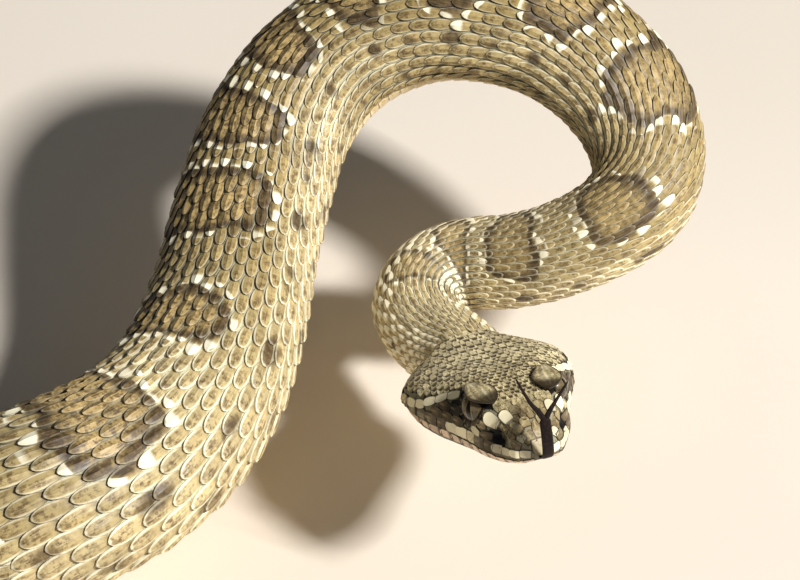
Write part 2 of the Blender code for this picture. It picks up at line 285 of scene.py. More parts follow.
def markings(s, angle):
    """How far a place is in a dark blotch, in its darker rim, on its pale edge, and down the side; the pale
    edge and the side also carry painted light on the neck, and the side painted shade on the arch.
    """
    nearest = np.abs(s[..., None] - BLOTCHES).argmin(axis=-1)
    gap = BLOTCH_GAPS[nearest]
    across = angle / BLOTCH_HALF_ROUND
    wave = ripple(s * 0.42, angle * 6.0, 1)
    lesser = 1 + 0.38 * near(s, 46.0, 14.0) + 0.28 * near(s, 200.0, 10.0)
    along = lesser * (s - BLOTCHES[nearest]) / (0.31 * gap * (1 + 0.14 * wave))
    across = lesser * across * (1 + 0.14 * ripple(s * 0.5, angle * 4.0, 2))
    reach = (np.abs(along) ** 3.2 + np.abs(across) ** 3.6) ** (1 / 3.4)
    blotch = smooth(1.05, 0.97, reach)
    rim = smooth(0.62, 0.86, reach) * blotch
    ahead = np.abs(along) ** 3.2 / (np.abs(along) ** 3.2 + np.abs(across) ** 3.6 + 1e-9)
    limit = 1.10 + 0.15 * ahead
    pale = smooth(0.97, 1.05, reach) * smooth(limit + 0.06, limit - 0.06, reach)
    spot = side_spots(s, angle, nearest, gap)
    # painted light: the sides of the neck are given the cream of the pale edges
    neck = 0.58 * smooth(222.0, 240.0, s - RAISED_FROM) * smooth(0.2, 0.6, np.abs(angle))
    blotch = blotch * (1 - 0.4 * smooth(145.0, 180.0, s - RAISED_FROM))
    return np.stack([np.maximum(blotch, spot), np.maximum(rim, spot),
                     np.maximum(pale * (1 - spot), neck), side_and_painted_light_share(s, angle)], -1)


def side_spots(s, angle, nearest, gap):
    """Small dark spots in two rows along each flank."""
    dark = np.zeros_like(s)
    for height, half_round, half_long, offset, depth in (
            (80, 7.0, 0.10, 0.0, 0.9), (80, 5.0, 0.07, 0.5, 0.75), (112, 5.0, 0.08, 0.26, 0.7),
            (110, 4.5, 0.07, -0.24, 0.6)):
        long = (s - BLOTCHES[nearest]) / gap - offset
        long = (long - np.round(long)) / half_long
        high = (np.abs(np.degrees(angle)) - height - 3 * np.sign(angle)) / half_round
        dark = np.maximum(dark, depth * smooth(1.25, 0.8, np.sqrt(long ** 2 + high ** 2)))
    return dark


# ---------------------------------------------------------------- meshes

def flat(faces):
    """Faces of any size as one run of corners and a list of sizes."""
    return np.array([v for face in faces for v in face]), np.array([len(face) for face in faces])


def joined(parts):
    """Several lots of points and faces as one: each part is (points, (corners, sizes))."""
    firsts = np.concatenate([[0], np.cumsum([len(p) for p, _ in parts])[:-1]])
    points = np.concatenate([p for p, _ in parts])
    corners = np.concatenate([f[0] + first for (_, f), first in zip(parts, firsts)])
    return points, (corners, np.concatenate([f[1] for _, f in parts]))


def grid_faces(rows, columns, loop=False):
    """Four-cornered faces over rows of points; with loop, each row closes on itself."""
    grid = np.arange(rows * columns).reshape(rows, columns)
    if loop:
        grid = np.hstack([grid, grid[:, :1]])
    quads = np.stack([grid[:-1, :-1], grid[:-1, 1:], grid[1:, 1:], grid[1:, :-1]], -1).reshape(-1, 4)
    return quads.reshape(-1), np.full(len(quads), 4)


def tube_faces(rings, sides, turned=False):
    """The faces of a tube with one over each end; turned, they look the other way."""
    corners, sizes = grid_faces(rings, sides, loop=True)
    first, last = list(range(sides)), list(range((rings - 1) * sides, rings * sides))
    ends, end_sizes = flat([first, last[::-1]] if turned else [first[::-1], last])
    if turned:
        corners, sizes = reversed_faces(corners, sizes)
    return np.concatenate([corners, ends]), np.concatenate([sizes, end_sizes])

def new_piece(name, points, faces, finish, replaced=(), smooth_angle=35.0):
    """A mesh object from points in mm, riding on the body and standing for the solids given."""
    mesh = bpy.data.meshes.new(name)
    corners, sizes = (np.asarray(part, dtype=np.int32) for part in faces)
    mesh.vertices.add(len(points))
    mesh.vertices.foreach_set("co", (np.asarray(points) * MM).astype(np.float32).reshape(-1))
    mesh.loops.add(len(corners))
    mesh.loops.foreach_set("vertex_index", corners)
    mesh.polygons.add(len(sizes))
    starts = np.concatenate([[0], np.cumsum(sizes)[:-1]]).astype(np.int32)
    mesh.polygons.foreach_set("loop_start", starts)
    mesh.update(calc_edges=True)
    mesh.shade_smooth()
    mesh.set_sharp_from_angle(angle=math.radians(smooth_angle))
    made = bpy.data.objects.new(name, mesh)
    bpy.context.scene.collection.objects.link(made)
    mesh.materials.append(finish)
    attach(made, "root")
    if replaced:
        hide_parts(*replaced)
    return made


def give(piece, name, values):
    """Store a value for every point: a colour of four numbers or a vector of three."""
    kind, field = ("FLOAT_COLOR", "color") if values.shape[1] == 4 else ("FLOAT_VECTOR", "vector")
    layer = piece.data.attributes.new(name, kind, "POINT")
    layer.data.foreach_set(field, values.astype(np.float32).reshape(-1))


def give_map(piece, values):
    """The OFBake map: a place on the unwrap for every point."""
    layer = piece.data.uv_layers.new(name="OFBake")
    corners = np.zeros(len(piece.data.loops), dtype=np.int32)
    piece.data.loops.foreach_get("vertex_index", corners)
    layer.data.foreach_set("uv", values[corners].astype(np.float32).reshape(-1))


# ---------------------------------------------------------------- one scale

class Scale:
    """The form of one scale: a keeled leaf with a raised tip and walls down into the skin.

    `side` runs -1 to 1 across it and `down` 0 to 1 from root to tip; `high` is the height over the
    skin, where 1 is the full depth of the coat.
    """
    ACROSS = (-1.0, -0.62, -0.17, 0.0, 0.17, 0.62, 1.0)
    ALONG = (0.0, 0.14, 0.28, 0.43, 0.58, 0.72, 0.84, 0.93, 1.0)

    def __init__(self, keel=0.30, blunt=2.1, root=0.50, dome=0.42, tip=0.55):
        side, down = (g.reshape(-1) for g in np.meshgrid(self.ACROSS, self.ALONG))
        half = self.outline(down, blunt, root)
        lift = 0.10 + tip * smooth(0.0, 0.95, down)
        crown = dome * (1 - side ** 2) * smooth(-0.1, 0.35, down) * (1 - 0.35 * smooth(0.8, 1.0, down))
        ridge = keel * np.exp(-(side / 0.16) ** 2) * smooth(0.02, 0.3, down) * smooth(1.02, 0.82, down)
        self.side, self.down = side, down
        self.x, self.y, self.high = side * half, down, lift + crown + ridge
        self.close()

    @staticmethod
    def outline(down, blunt, root):
        """Half the width at a distance from the root, 1 at the widest."""
        widest = 0.46
        before = root + (1 - root) * np.sin(np.clip(down / widest, 0, 1) * math.pi / 2)
        after = (1 - np.clip((down - widest) / (1.012 - widest), 0, 1) ** blunt) ** 0.72
        return np.where(down < widest, before, after)

    def close(self):
        """Add the walls and the underside, so that the scale is one closed solid."""
        columns, rows = len(self.ACROSS), len(self.ALONG)
        grid = np.arange(columns * rows).reshape(rows, columns)
        rim = np.concatenate([grid[:, 0], grid[-1, 1:-1], grid[::-1, -1], grid[0, -2:0:-1]])
        under = columns * rows + np.arange(len(rim))
        faces = [[grid[r, c], grid[r, c + 1], grid[r + 1, c + 1], grid[r + 1, c]]
                 for r in range(rows - 1) for c in range(columns - 1)]
        for i in range(len(rim)):
            j = (i + 1) % len(rim)
            faces.append([rim[i], rim[j], under[j], under[i]])
        left = under[:rows]
        right = under[rows + columns - 2:2 * rows + columns - 2][::-1]
        tip, root = under[rows:rows + columns - 2], under[2 * rows + columns - 2:]
        for r in range(1, rows - 2):
            faces.append([left[r], left[r + 1], right[r + 1], right[r]])
        faces.append([left[0], left[1], right[1], right[0], *root])
        faces.append([left[-2], left[-1], *tip, right[-1], right[-2]])
        self.corners, self.sizes = flat(faces)
        self.x = np.concatenate([self.x, self.x[rim] * 0.93])
        self.y = np.concatenate([self.y, self.y[rim] * 0.96 + 0.01])
        self.high = np.concatenate([self.high, np.full(len(rim), -0.45)])
        self.side = np.concatenate([self.side, self.side[rim]])
        self.down = np.concatenate([self.down, self.down[rim]])

    def many(self, count):
        """The faces of a number of scales, one after another."""
        firsts = np.repeat(np.arange(count) * len(self.x), len(self.corners))
        return np.tile(self.corners, count) + firsts, np.tile(self.sizes, count)


# ---------------------------------------------------------------- scales of the body

KEELED = Scale(keel=0.24, blunt=3.0, root=0.58, dome=0.36, tip=0.80)
SCALE_LONG = 1.16          # length of a scale, as a share of the pitch
SCALE_WIDE = 0.96          # width of a scale, as a share of its row
MARK_SPREAD = (0.90, 0.6)  # how much the markings vary within a scale, along and across it
LEAST_STRETCH = 0.42       # scales overlap no further than this inside a sharp bend
BANDS = (4, 3, 4, 3, 4, 3, 4)     # rows in each piece, from the snake's right to its left
MAP_STRIPS = 8             # the unwrap of a long body is laid in this many strips
LAST_SCALE = int(PHASE[np.searchsorted(ALONG, NAPE)])
FIRST_SCALE = int(PHASE[np.searchsorted(ALONG, TAIL_FROM)]) + 1


def row_places(row):
    """Distance, angle and width of every scale of a row, and its number along the row."""
    number = np.arange(FIRST_SCALE, LAST_SCALE + 1)
    s = np.interp(number + 0.5 * (row % 2), PHASE, ALONG)
    share = np.interp(s, ALONG, ROW_SHARES[:, row]) / ROW_SHARES[:, row].max()
    keep = share > 0.55
    s, number = s[keep], number[keep]
    angle = np.interp(s, ALONG, ROW_ROUND[:, row])
    width = np.interp(s, ALONG, ROW_WIDTH[:, row])
    return s, angle, width, number


def laid_scales(form, s, angle, long, wide, random):
    """The points of scales laid on the body, and where each point is on it."""
    grown = np.maximum(stretch(s, angle), LEAST_STRETCH)
    spread = np.maximum(grown, 1.0)
    turn = (random[:, 1] - 0.5) * 0.14
    narrow = 1 - 0.18 * smooth(1.0, 0.6, grown)
    across = form.x[None, :] * (wide * narrow * spread ** 0.35)[:, None] / 2
    down = (form.y[None, :] - 0.5) * (long * spread ** 0.8)[:, None]
    across, down = (across * np.cos(turn)[:, None] + down * np.sin(turn)[:, None],
                    down * np.cos(turn)[:, None] - across * np.sin(turn)[:, None])
    at_s = s[:, None] - down / grown[:, None]
    at_angle = angle[:, None] + across / read(RADIUS, s)[:, None]
    coat = read(COAT, at_s)
    point, outward = section(at_s, at_angle, coat)
    high = form.high[None, :] * coat * (0.85 + 0.3 * random[:, 2:3])
    point = point + outward * high[..., None]
    point[..., 2] = np.maximum(point[..., 2], 0.02)
    return point, at_s, at_angle


def body_scales(finish):
    """The keeled scales of the back and sides, in bands of rows that run the whole body."""
    random = np.random.default_rng(SEED)
    per_strip = math.ceil((LAST_SCALE + 1) / MAP_STRIPS)
    first = 0
    for band, rows in enumerate(BANDS):
        s, angle, width, number, row = [], [], [], [], []
        for i in range(rows):
            found = row_places(first + i)
            for store, values in zip((s, angle, width, number), found):
                store.append(values)
            row.append(np.full(len(found[0]), i))
        s, angle, width, number, row = (np.concatenate(v) for v in (s, angle, width, number, row))
        chance = random.random((len(s), 4))
        long = read(PITCH, s) * SCALE_LONG * (0.96 + 0.08 * chance[:, 0])
        wide = width * SCALE_WIDE * (0.96 + 0.08 * chance[:, 3])
        point, at_s, at_angle = laid_scales(KEELED, s, angle, long, wide, chance)
        piece = new_piece("scales_%d" % (band + 1), point.reshape(-1, 3), KEELED.many(len(s)),
                          finish)
        mark = markings(s[:, None] + MARK_SPREAD[0] * (at_s - s[:, None]),
                        angle[:, None] + MARK_SPREAD[1] * (at_angle - angle[:, None]))
        give(piece, "mark", mark.reshape(-1, 4))
        give(piece, "cell", cells(KEELED, chance[:, 0]))
        strip, place = number // per_strip, number % per_strip
        map_u = (place[:, None] + 0.5 + 0.42 * (1 - 2 * KEELED.down[None, :])) / per_strip
        map_v = (strip * rows + row)[:, None] + 0.5 + 0.42 * KEELED.side[None, :]
        give_map(piece, np.stack([map_u, map_v / (MAP_STRIPS * rows)], -1).reshape(-1, 2))
        first += rows


def cells(form, random):
    """The place of each point on its own scale: across, down, and the scale's random number."""
    count = len(random)
    return np.stack([np.tile(form.side, count), np.tile(form.down, count),
                     np.repeat(random, len(form.side))], -1)


# ---------------------------------------------------------------- belly plates

PLATE_COLUMNS = 27
PLATE_DOWN = np.array([0.0, 0.18, 0.40, 0.62, 0.80, 0.92, 1.0])
PLATE_LONG = 1.22          # length of a belly plate, as a share of the pitch
PLATE_WRAP = math.radians(5)   # the plates run this far under the lowest scales


def belly_plates(finish):
    """The wide smooth plates of the belly, one to each step of the scales."""
    number = np.arange(FIRST_SCALE, LAST_SCALE + 1)
    s = np.interp(number, PHASE, ALONG)
    side, down = (g.reshape(-1) for g in np.meshgrid(np.linspace(-1, 1, PLATE_COLUMNS), PLATE_DOWN))
    half = math.pi - SIDE_ANGLE + PLATE_WRAP
    angle = np.broadcast_to(math.pi + side * half, (len(s), len(side)))
    grown = np.maximum(stretch(np.repeat(s[:, None], len(side), 1), angle), LEAST_STRETCH)
    long = (read(PITCH, s) * PLATE_LONG)[:, None]
    bow = 0.35 * side ** 2
    at_s = s[:, None] - (down - 0.5 - bow) * long / grown
    coat = read(COAT, at_s)
    point, outward = section(at_s, angle, coat)
    edge = smooth(1.0, 0.86, np.abs(side))
    high = (0.12 + 0.62 * smooth(0.0, 1.0, down)) * (0.35 + 0.65 * edge)
    top = point + outward * (high * coat)[..., None]
    low = point - outward * (0.5 * coat)[..., None]
    top[..., 2] = np.maximum(top[..., 2], 0.02)
    low[..., 2] = np.maximum(low[..., 2], 0.02 + 0.25 * coat)
    rows, columns = len(PLATE_DOWN), PLATE_COLUMNS
    form = closed_sheet(rows, columns)
    points = np.concatenate([top, low], axis=1).reshape(-1, 3)
    firsts = np.repeat(np.arange(len(s)) * 2 * rows * columns, len(form[0]))
    faces = np.tile(form[0], len(s)) + firsts, np.tile(form[1], len(s))
    piece = new_piece("belly_plates", points, faces, finish)
    chance = np.random.default_rng(SEED + 1).random(len(s))
    cell = np.stack([np.tile(side, 2), np.tile(down, 2)], -1)
    give(piece, "cell", np.hstack([np.tile(cell, (len(s), 1)), np.repeat(chance, len(cell))[:, None]]))
    per_strip = math.ceil((LAST_SCALE + 1) / MAP_STRIPS)
    map_u = ((number % per_strip)[:, None] + 0.5 + 0.42 * (1 - 2 * cell[None, :, 1])) / per_strip
    map_v = ((number // per_strip)[:, None] + 0.5 + 0.45 * cell[None, :, 0]) / MAP_STRIPS
    give_map(piece, np.stack([map_u, map_v], -1).reshape(-1, 2))


def closed_sheet(rows, columns):
    """The faces of a thin plate: a grid of points above, the same below, and walls between."""
    top, sizes = grid_faces(rows, columns)
    low = top.reshape(-1, 4)[:, ::-1].reshape(-1) + rows * columns
    grid = np.arange(rows * columns).reshape(rows, columns)
    rim = np.concatenate([grid[0, :-1], grid[:-1, -1], grid[-1, :0:-1], grid[:0:-1, 0]])
    after = np.roll(rim, -1)
    wall = np.stack([after, rim, rim + rows * columns, after + rows * columns], -1).reshape(-1)
    return np.concatenate([top, low, wall]), np.concatenate([sizes, sizes, np.full(len(rim), 4)])


# ---------------------------------------------------------------- the head's form

HEAD_LENGTH = 46.0
GAP = 0.30                   # between the solids of the head and the neck
# distance back, half width, height of the top, depth of the chin, height of the mouth line, and
# how square the upper half is in section (2 = round)
# Eight of the half widths were changed by 0.2 to 0.5 mm to follow another program's fit.
HEAD_FORM = np.array([
    (0.0, 3.4, 4.6, 0.2, 1.0, 2.5),
    (1.2, 4.8, 6.2, -0.5, 0.8, 2.8),
    (3.5, 6.2, 7.8, -1.5, 0.5, 3.1),
    (7.0, 7.9, 9.0, -2.8, 0.1, 3.3),
    (11.0, 9.5, 10.2, -3.9, 0.0, 3.4),
    (15.0, 10.6, 10.6, -4.7, 0.1, 3.2),
    (20.0, 12.8, 10.2, -5.5, 0.5, 2.8),
    (26.0, 15.6, 9.6, -6.4, 0.9, 2.5),
    (31.0, 16.9, 8.8, -7.1, 1.0, 2.4),
    (36.0, 17.1, 8.1, -7.5, 1.0, 2.4),
    (40.0, 15.1, 7.8, -7.6, 0.9, 2.2),
    (43.5, 11.8, 7.9, -7.7, 0.6, 2.1),
    (46.0, 9.0, 8.1, -7.7, 0.4, 2.0),
])
HEAD_COAT = 0.42             # depth of the scales of the head, mm
JAW_INSET = 0.95             # width of the jaw, as a share of the upper half's
JAW_SQUARE = 2.2             # how square the jaw is in section
HEAD_RINGS = 84              # rings of the skin along the head
# Angles round a ring of the skin, from the middle of the back: closer together at the lips.
HALF_ROUND = np.concatenate([np.linspace(0, 80, 21), [84, 86.6, 88.2, 89.3, 89.85, 90.6, 92.3, 96],
                             np.linspace(100, 180, 18)])
ROUND = np.radians(np.concatenate([-HALF_ROUND[:0:-1], HALF_ROUND[:-1]]))

# Hollows and swellings of the head: back from the snout, out from the middle, up from the mouth
# line, reach along, out and up, and height, mm.  Each is on both sides.
RELIEF = [
    ("orbit", 14.8, 9.4, 7.2, 2.9, 2.4, 2.4, -1.5),
    ("loreal_hollow", 6.9, 7.4, 4.6, 2.2, 1.6, 1.7, -0.5),
    ("pit", 5.8, 7.0, 4.1, 2.1, 1.8, 1.2, -2.4),
    ("crown_dip", 13.5, 0.0, 10.2, 6.5, 3.0, 2.5, -0.5),
    ("crown_groove", 30.0, 0.0, 9.6, 8.0, 2.2, 3.0, -0.45),
    ("behind_eye", 19.2, 10.8, 6.4, 1.7, 2.0, 2.6, -0.45),
    ("temple", 25.0, 13.0, 8.0, 4.0, 2.5, 2.0, -0.30),
    ("nostril", 3.4, 5.1, 6.2, 0.62, 1.0, 0.85, -1.2),
    ("lip", 9.0, 8.6, 1.2, 7.0, 2.0, 0.9, 0.12),
]
MOUTH_ENDS = 36.5            # the corner of the mouth, back from the snout
MOUTH_DEEP = 1.1             # depth of the groove between the lips


def head_frame():
    """The tip of the snout, and the head's forward, left and up directions."""
    nape, forward, left, up = (read(t, NAPE) for t in (POINTS, FORWARD, LEFT, BACK))
    return nape + forward * (HEAD_LENGTH + GAP / 2), forward, left, up


SNOUT, AHEAD, HEAD_LEFT, HEAD_UP = head_frame()
HEAD_AXES = np.stack([-AHEAD, HEAD_LEFT, HEAD_UP])


def on_head(places):
    """Points from places on the head: back from the snout, left, and up from the mouth line."""
    return SNOUT + np.asarray(places) @ HEAD_AXES



def head_section(back, angle, depth=HEAD_COAT):
    """A place on the head's outline, a little under it, at a distance back and an angle round."""
    width, top, chin, lip, square = (np.interp(back, HEAD_FORM[:, 0], HEAD_FORM[:, i])
                                     for i in (1, 2, 3, 4, 5))
    above = np.abs(angle) < math.pi / 2
    sin, cos = np.abs(np.sin(angle)), np.abs(np.cos(angle))
    power = 2.0 / np.where(above, square, JAW_SQUARE)
    inset = np.where(above, 1.0, 1.0 - (1.0 - JAW_INSET) * smooth(46.0, 38.0, back))
    out = np.sign(np.sin(angle)) * (width * inset - depth) * sin ** power
    edge = np.where(above, top - depth, chin + depth)
    return np.stack([back, out, lip + (edge - lip) * cos ** power], -1)


def head_rows():
    """Places of the skin of the head, ring by ring from the tip of the snout to the nape."""
    backs = (HEAD_LENGTH + GAP) * np.linspace(0, 1, HEAD_RINGS) ** 1.3
    rings = [head_section(np.full(len(ROUND), b), ROUND) for b in backs]
    front, middle = rings[0], np.array([0.0, 0.0, 0.6])
    cap = []
    for share, forward in ((0.03, 0.55), (0.25, 0.52), (0.50, 0.45), (0.72, 0.32), (0.88, 0.16)):
        ring = middle + (front - middle) * share
        ring[:, 0] = HEAD_COAT - forward
        cap.append(ring)
    for ring, back in zip(rings[:6], backs[:6]):
        ring[:, 0] += HEAD_COAT * (1 - smooth(0.0, 3.0, back))
    return np.array(cap + rings), np.concatenate([np.zeros(len(cap)), backs])


def relieved(rows):
    """The rings of the head with its hollows, swellings and the mouth."""
    around = np.roll(rows, -1, axis=1) - np.roll(rows, 1, axis=1)
    along = np.gradient(rows, axis=0)
    outward = unit(np.cross(around, along))
    middle = rows.mean(axis=1, keepdims=True)
    outward *= np.sign((outward * (rows - middle)).sum(-1, keepdims=True) + 1e-9)
    push = np.zeros(rows.shape[:2])
    for _, back, out, up, reach_back, reach_out, reach_up, height in RELIEF:
        for side in ((1,) if out == 0 else (1, -1)):
            apart = (((rows[..., 0] - back) / reach_back) ** 2
                     + ((rows[..., 1] - side * out) / reach_out) ** 2
                     + ((rows[..., 2] - up) / reach_up) ** 2)
            push += height * np.exp(-apart)
    in_mouth = (np.abs(np.abs(ROUND) - math.pi / 2) < math.radians(0.65))[None, :]
    mouth = in_mouth * smooth(MOUTH_ENDS + 2, MOUTH_ENDS - 3, rows[..., 0])
    push -= MOUTH_DEEP * mouth
    return rows + outward * push[..., None]


# ---------------------------------------------------------------- the skin

SKIN_STEP_COIL = 3.0         # from ring to ring of the skin, mm
SKIN_STEP_RAISED = 1.6


def body_rows():
    """Rings of the body's skin from the nape to the tail."""
    raised = np.arange(NAPE - 0.6, RAISED_FROM, -SKIN_STEP_RAISED)
    coil = np.arange(RAISED_FROM, TAIL_FROM + 0.5, -SKIN_STEP_COIL)
    s = np.concatenate([raised, coil, [TAIL_FROM + 0.2]])
    angle = np.broadcast_to(ROUND, (len(s), len(ROUND)))
    far = np.repeat(s[:, None], len(ROUND), 1)
    point, _ = section(far, angle, read(COAT, far))
    return point, far, angle


def skin(finish):
    """One skin over the head, trunk and tail; returns the rings of the head and where they are."""
    rows, backs = head_rows()
    rows = relieved(rows)
    head = on_head(rows)
    body, s, angle = body_rows()
    points = np.concatenate([head, body])
    count, columns = points.shape[:2]
    replaced = ["head", "lower_jaw", "neck", "neck_base", "tail"]
    replaced += ["trunk_%02d" % n for n in range(1, 13)]
    piece = new_piece("skin", points.reshape(-1, 3), tube_faces(count, columns), finish,
                      replaced, 60.0)
    head_mark = head_markings(rows)
    # painted shade: the skin between the head's scales is darkened, except under the throat
    head_mark[..., 0] = np.maximum(head_mark[..., 0], 1.1 * (1 - head_mark[..., 1]))
    head_mark[..., 3] = 0.0
    mark = np.concatenate([head_mark, markings(s, angle)])
    give(piece, "mark", mark.reshape(-1, 4))
    give_map(piece, skin_map(count, columns))
    return rows, backs


def skin_map(count, columns):
    """The skin's unwrap: its rings laid in strips, each as wide as the way round the body."""
    ring = np.repeat(np.arange(count), columns)
    column = np.tile(np.arange(columns), count)
    per_strip = math.ceil(count / MAP_STRIPS)
    map_u = (ring % per_strip + 0.5) / (per_strip + 1)
    map_v = (ring // per_strip + (column + 0.5) / (columns + 1)) / MAP_STRIPS
    return np.stack([map_u, map_v], -1)


# Heights over the mouth line of the pale stripe behind the eye and of the one in front of it and
# under it, at distances back from the snout.
# Places on both stripes and the pit follow what another program printed, some of them exactly.
REAR_STRIPE = ((15.0, 19.5, 21.5, 25.4, 28.0, 33.0, 40.0), (9.8, 8.2, 7.2, 5.2, 3.9, 2.8, 2.2))
FRONT_STRIPE = ((4.5, 6.8, 7.8, 9.5, 11.3, 17.6, 21.0), (9.4, 8.5, 7.2, 5.0, 3.2, 1.9, 0.9))
REAR_STRIPE_ENDS = (19.8, 33.5)
FRONT_STRIPE_ENDS = (6.5, 20.5)
STRIPE_HALF = 0.95           # half the width of a stripe, mm
PIT_AT = (5.9, 6.9, 4.2)
NOSTRIL_AT = (3.4, 5.1, 6.2)


def stripe(back, up, line, ends):
    """How much a place is on one of the pale stripes."""
    off = np.abs(up - np.interp(back, *line))
    return smooth(STRIPE_HALF + 0.15, STRIPE_HALF - 0.15, off) * smooth(ends[0] - 0.5, ends[0] + 0.3, back) \
        * smooth(ends[1] + 0.8, ends[1] - 0.3, back)


def within(places, middle, reach):
    """1 inside a round area on the side of the head and 0 outside it."""
    back, up = (places[..., 0] - middle[0]) / reach[0], (places[..., 2] - middle[2]) / reach[1]
    return smooth(1.15, 0.85, np.sqrt(back ** 2 + up ** 2))


def head_markings(places):
    """How dark a place of the head is (2 = black, painted shade in the pits, nostrils, under the brows and
    round the eyes), on the throat, pale, and near the snout.
    """
    back, out, up = places[..., 0], np.abs(places[..., 1]), places[..., 2]
    lip = np.interp(back, HEAD_FORM[:, 0], HEAD_FORM[:, 4])
    outer = smooth(4.5, 6.0, out)
    rear, front = (np.interp(back, *line) for line in (REAR_STRIPE, FRONT_STRIPE))
    pale = np.maximum(stripe(back, up, REAR_STRIPE, REAR_STRIPE_ENDS),
                      stripe(back, up, FRONT_STRIPE, FRONT_STRIPE_ENDS)) * outer
    behind = smooth(0.2, -0.6, up - rear) * smooth(-0.2, 0.6, up - front) * smooth(13.0, 15.0, back)
    behind *= smooth(40.0, 35.0, back)
    patch = smooth(-0.5, -1.1, up - front) * smooth(7.0, 7.8, back) * smooth(12.8, 11.8, back)
    lip_front = smooth(7.6, 7.0, back) * smooth(2.9, 2.1, up - lip) * smooth(2.0, 3.2, out)
    nape = smooth(36.0, 38.0, back) * smooth(2.6, 1.6, np.abs(out - 5.4)) * smooth(6.5, 7.5, up)
    # painted shade: the pits, the nostrils, the skin under the brow plates, and a ring round each eye and
    # behind it are made black
    shaded_hollow = within(places, PIT_AT, (2.8, 1.75)) + within(places, NOSTRIL_AT, (0.7, 0.9))
    roof = np.sqrt(((back - BROW_AT[0]) / 5.1) ** 2 + ((out - BROW_AT[1]) / 3.0) ** 2)
    shaded_hollow = shaded_hollow + smooth(1.12, 1.02, roof) * smooth(8.0, 8.6, up)
    behind_eye = (EYE_AT[0] + 3.4, 0.0, EYE_AT[2] - 0.4)
    rim = within(places, EYE_AT, (4.0, 3.7)) + within(places, behind_eye, (2.4, 2.4))
    rim = np.minimum(rim, 1.0) * smooth(10.0, 9.0, up)
    shaded_hollow = np.minimum(shaded_hollow + 0.9 * rim, 1.0) * outer
    dark = np.maximum(np.maximum(behind, 0.9 * patch) * outer, 0.6 * nape)
    dark = dark * (1 - shaded_hollow) + 2.0 * shaded_hollow
    throat = smooth(0.25, -0.25, up - lip)
    pale = np.maximum(pale, 0.85 * lip_front) * (1 - throat)
    pale = pale * (1 - shaded_hollow)
    snout = smooth(13.0, 6.0, back)
    return np.stack([dark * (1 - pale) * (1 - throat), throat, pale, snout], -1)


# ---------------------------------------------------------------- plates and scales of the head

LEAF = Scale(keel=0.42, blunt=2.2, root=0.60, dome=0.42, tip=0.62)
SMOOTH_LEAF = Scale(keel=0.0, blunt=3.2, root=0.85, dome=0.50, tip=0.35)
ROUND_LEAF = Scale(keel=0.08, blunt=2.8, root=0.66, dome=0.46, tip=0.44)
LABIAL = Scale(keel=0.0, blunt=5.0, root=0.96, dome=0.34, tip=0.22)
PLATE = Scale(keel=0.0, blunt=4.5, root=0.86, dome=0.26, tip=0.14)


class HeadSkin:
    """The finished skin of the head: where a place on it lies, and which way is out."""

    def __init__(self, rows, backs):
        self.rows, self.backs = rows, backs
        count, columns = rows.shape[:2]
        corners, _ = grid_faces(count, columns, loop=True)
        faces = [[int(v) for v in quad] for quad in corners.reshape(-1, 4)]
        self.tree = BVHTree.FromPolygons([tuple(p) for p in rows.reshape(-1, 3)], faces)

    def ring(self, back):
        """The ring of places at a distance behind the snout."""
        index = np.interp(back, self.backs, np.arange(len(self.backs)))
        low = min(int(index), len(self.rows) - 2)
        return self.rows[low] + (self.rows[low + 1] - self.rows[low]) * (index - low)

    def at(self, back, round_by):
        """The place at a distance back and a number of degrees round from the middle of the top."""
        ring = self.ring(back)
        return [float(np.interp(math.radians(round_by), ROUND, ring[:, i])) for i in range(3)]

    def up_side(self, back, side, upper=True):
        """The way from the lip to the middle of the top or the chin, and the distance along it."""
        ring, turn = self.ring(back), ROUND * side
        lip = math.radians(LIP_EDGES[0 if upper else 1])
        chosen = (turn > 0) & ((turn < lip) if upper else (turn > lip))
        line = ring[chosen][np.argsort(np.abs(turn[chosen] - lip))]
        return line, distances(line)

    def nearest(self, places):
        """The nearest places of the skin and its outward direction there."""
        found = [self.tree.find_nearest(Vector(p))[:2] for p in places]
        return np.array([f[0][:] for f in found]), np.array([f[1][:] for f in found])


def spaced(line, spacing, shift):
    """Evenly spaced places along a line of points, on both sides of its middle."""
    if len(line) < 2:
        return np.zeros((0, 3))
    run = distances(line)
    half = int(run[-1] / spacing / 2) + 1
    stops = np.interp(0.0, line[:, 1], run) + (np.arange(-half, half + 1) + shift) * spacing
    stops = stops[(stops > 0.2) & (stops < run[-1] - 0.2)]
    return along_line(line, run, stops)


# The large plates of each side: name, back from the snout, degrees round from the middle of the
# top (90 is the lip), length, width, depth, how pale, how dark.
HEAD_PLATES = [
    ("internasal", 0.9, 20, 3.0, 2.6, 1.2, 0.0, 0.0),
    ("canthal", 3.2, 30, 3.2, 2.5, 1.2, 0.0, 0.2),
    ("between_canthals", 3.5, 8, 2.6, 2.2, 1.0, 0.0, 0.0),
    ("second_canthal", 6.4, 27, 3.2, 2.5, 1.7, 0.8, 0.0),
    ("inner_canthal", 6.9, 9, 2.6, 2.2, 1.0, 0.0, 0.15),
    ("prenasal", 1.5, 42, 2.1, 2.1, 1.3, 0.6, 0.0),
    ("postnasal", 5.0, 46, 2.2, 2.0, 1.3, 0.0, 0.35),
    ("preocular", 8.3, 50, 3.9, 3.1, 2.6, 1.0, 0.0),
    ("front_lacunal", 1.8, 62, 2.6, 1.9, 1.5, 0.0, 0.5),
]
ROSTRAL = (-0.3, 0.0, 3.3)
CROWN_SPACING = ((2.0, 8.0, 30.0), (1.8, 1.15, 1.5))     # from scale to scale, by distance back
CROWN_ROWS = 1.02                # from row to row, as a share of that
CROWN_LONG = 2.30                # length of a scale, as a share of that
SIDE_ROWS = (3.0, 1.80, 5)       # first row of the cheek over the lip, gap from row to row, mm; rows
SIDE_SPACING = 2.8               # from scale to scale along the cheek, mm
STRIPE_SPACING = 3.1             # from scale to scale along the pale stripe
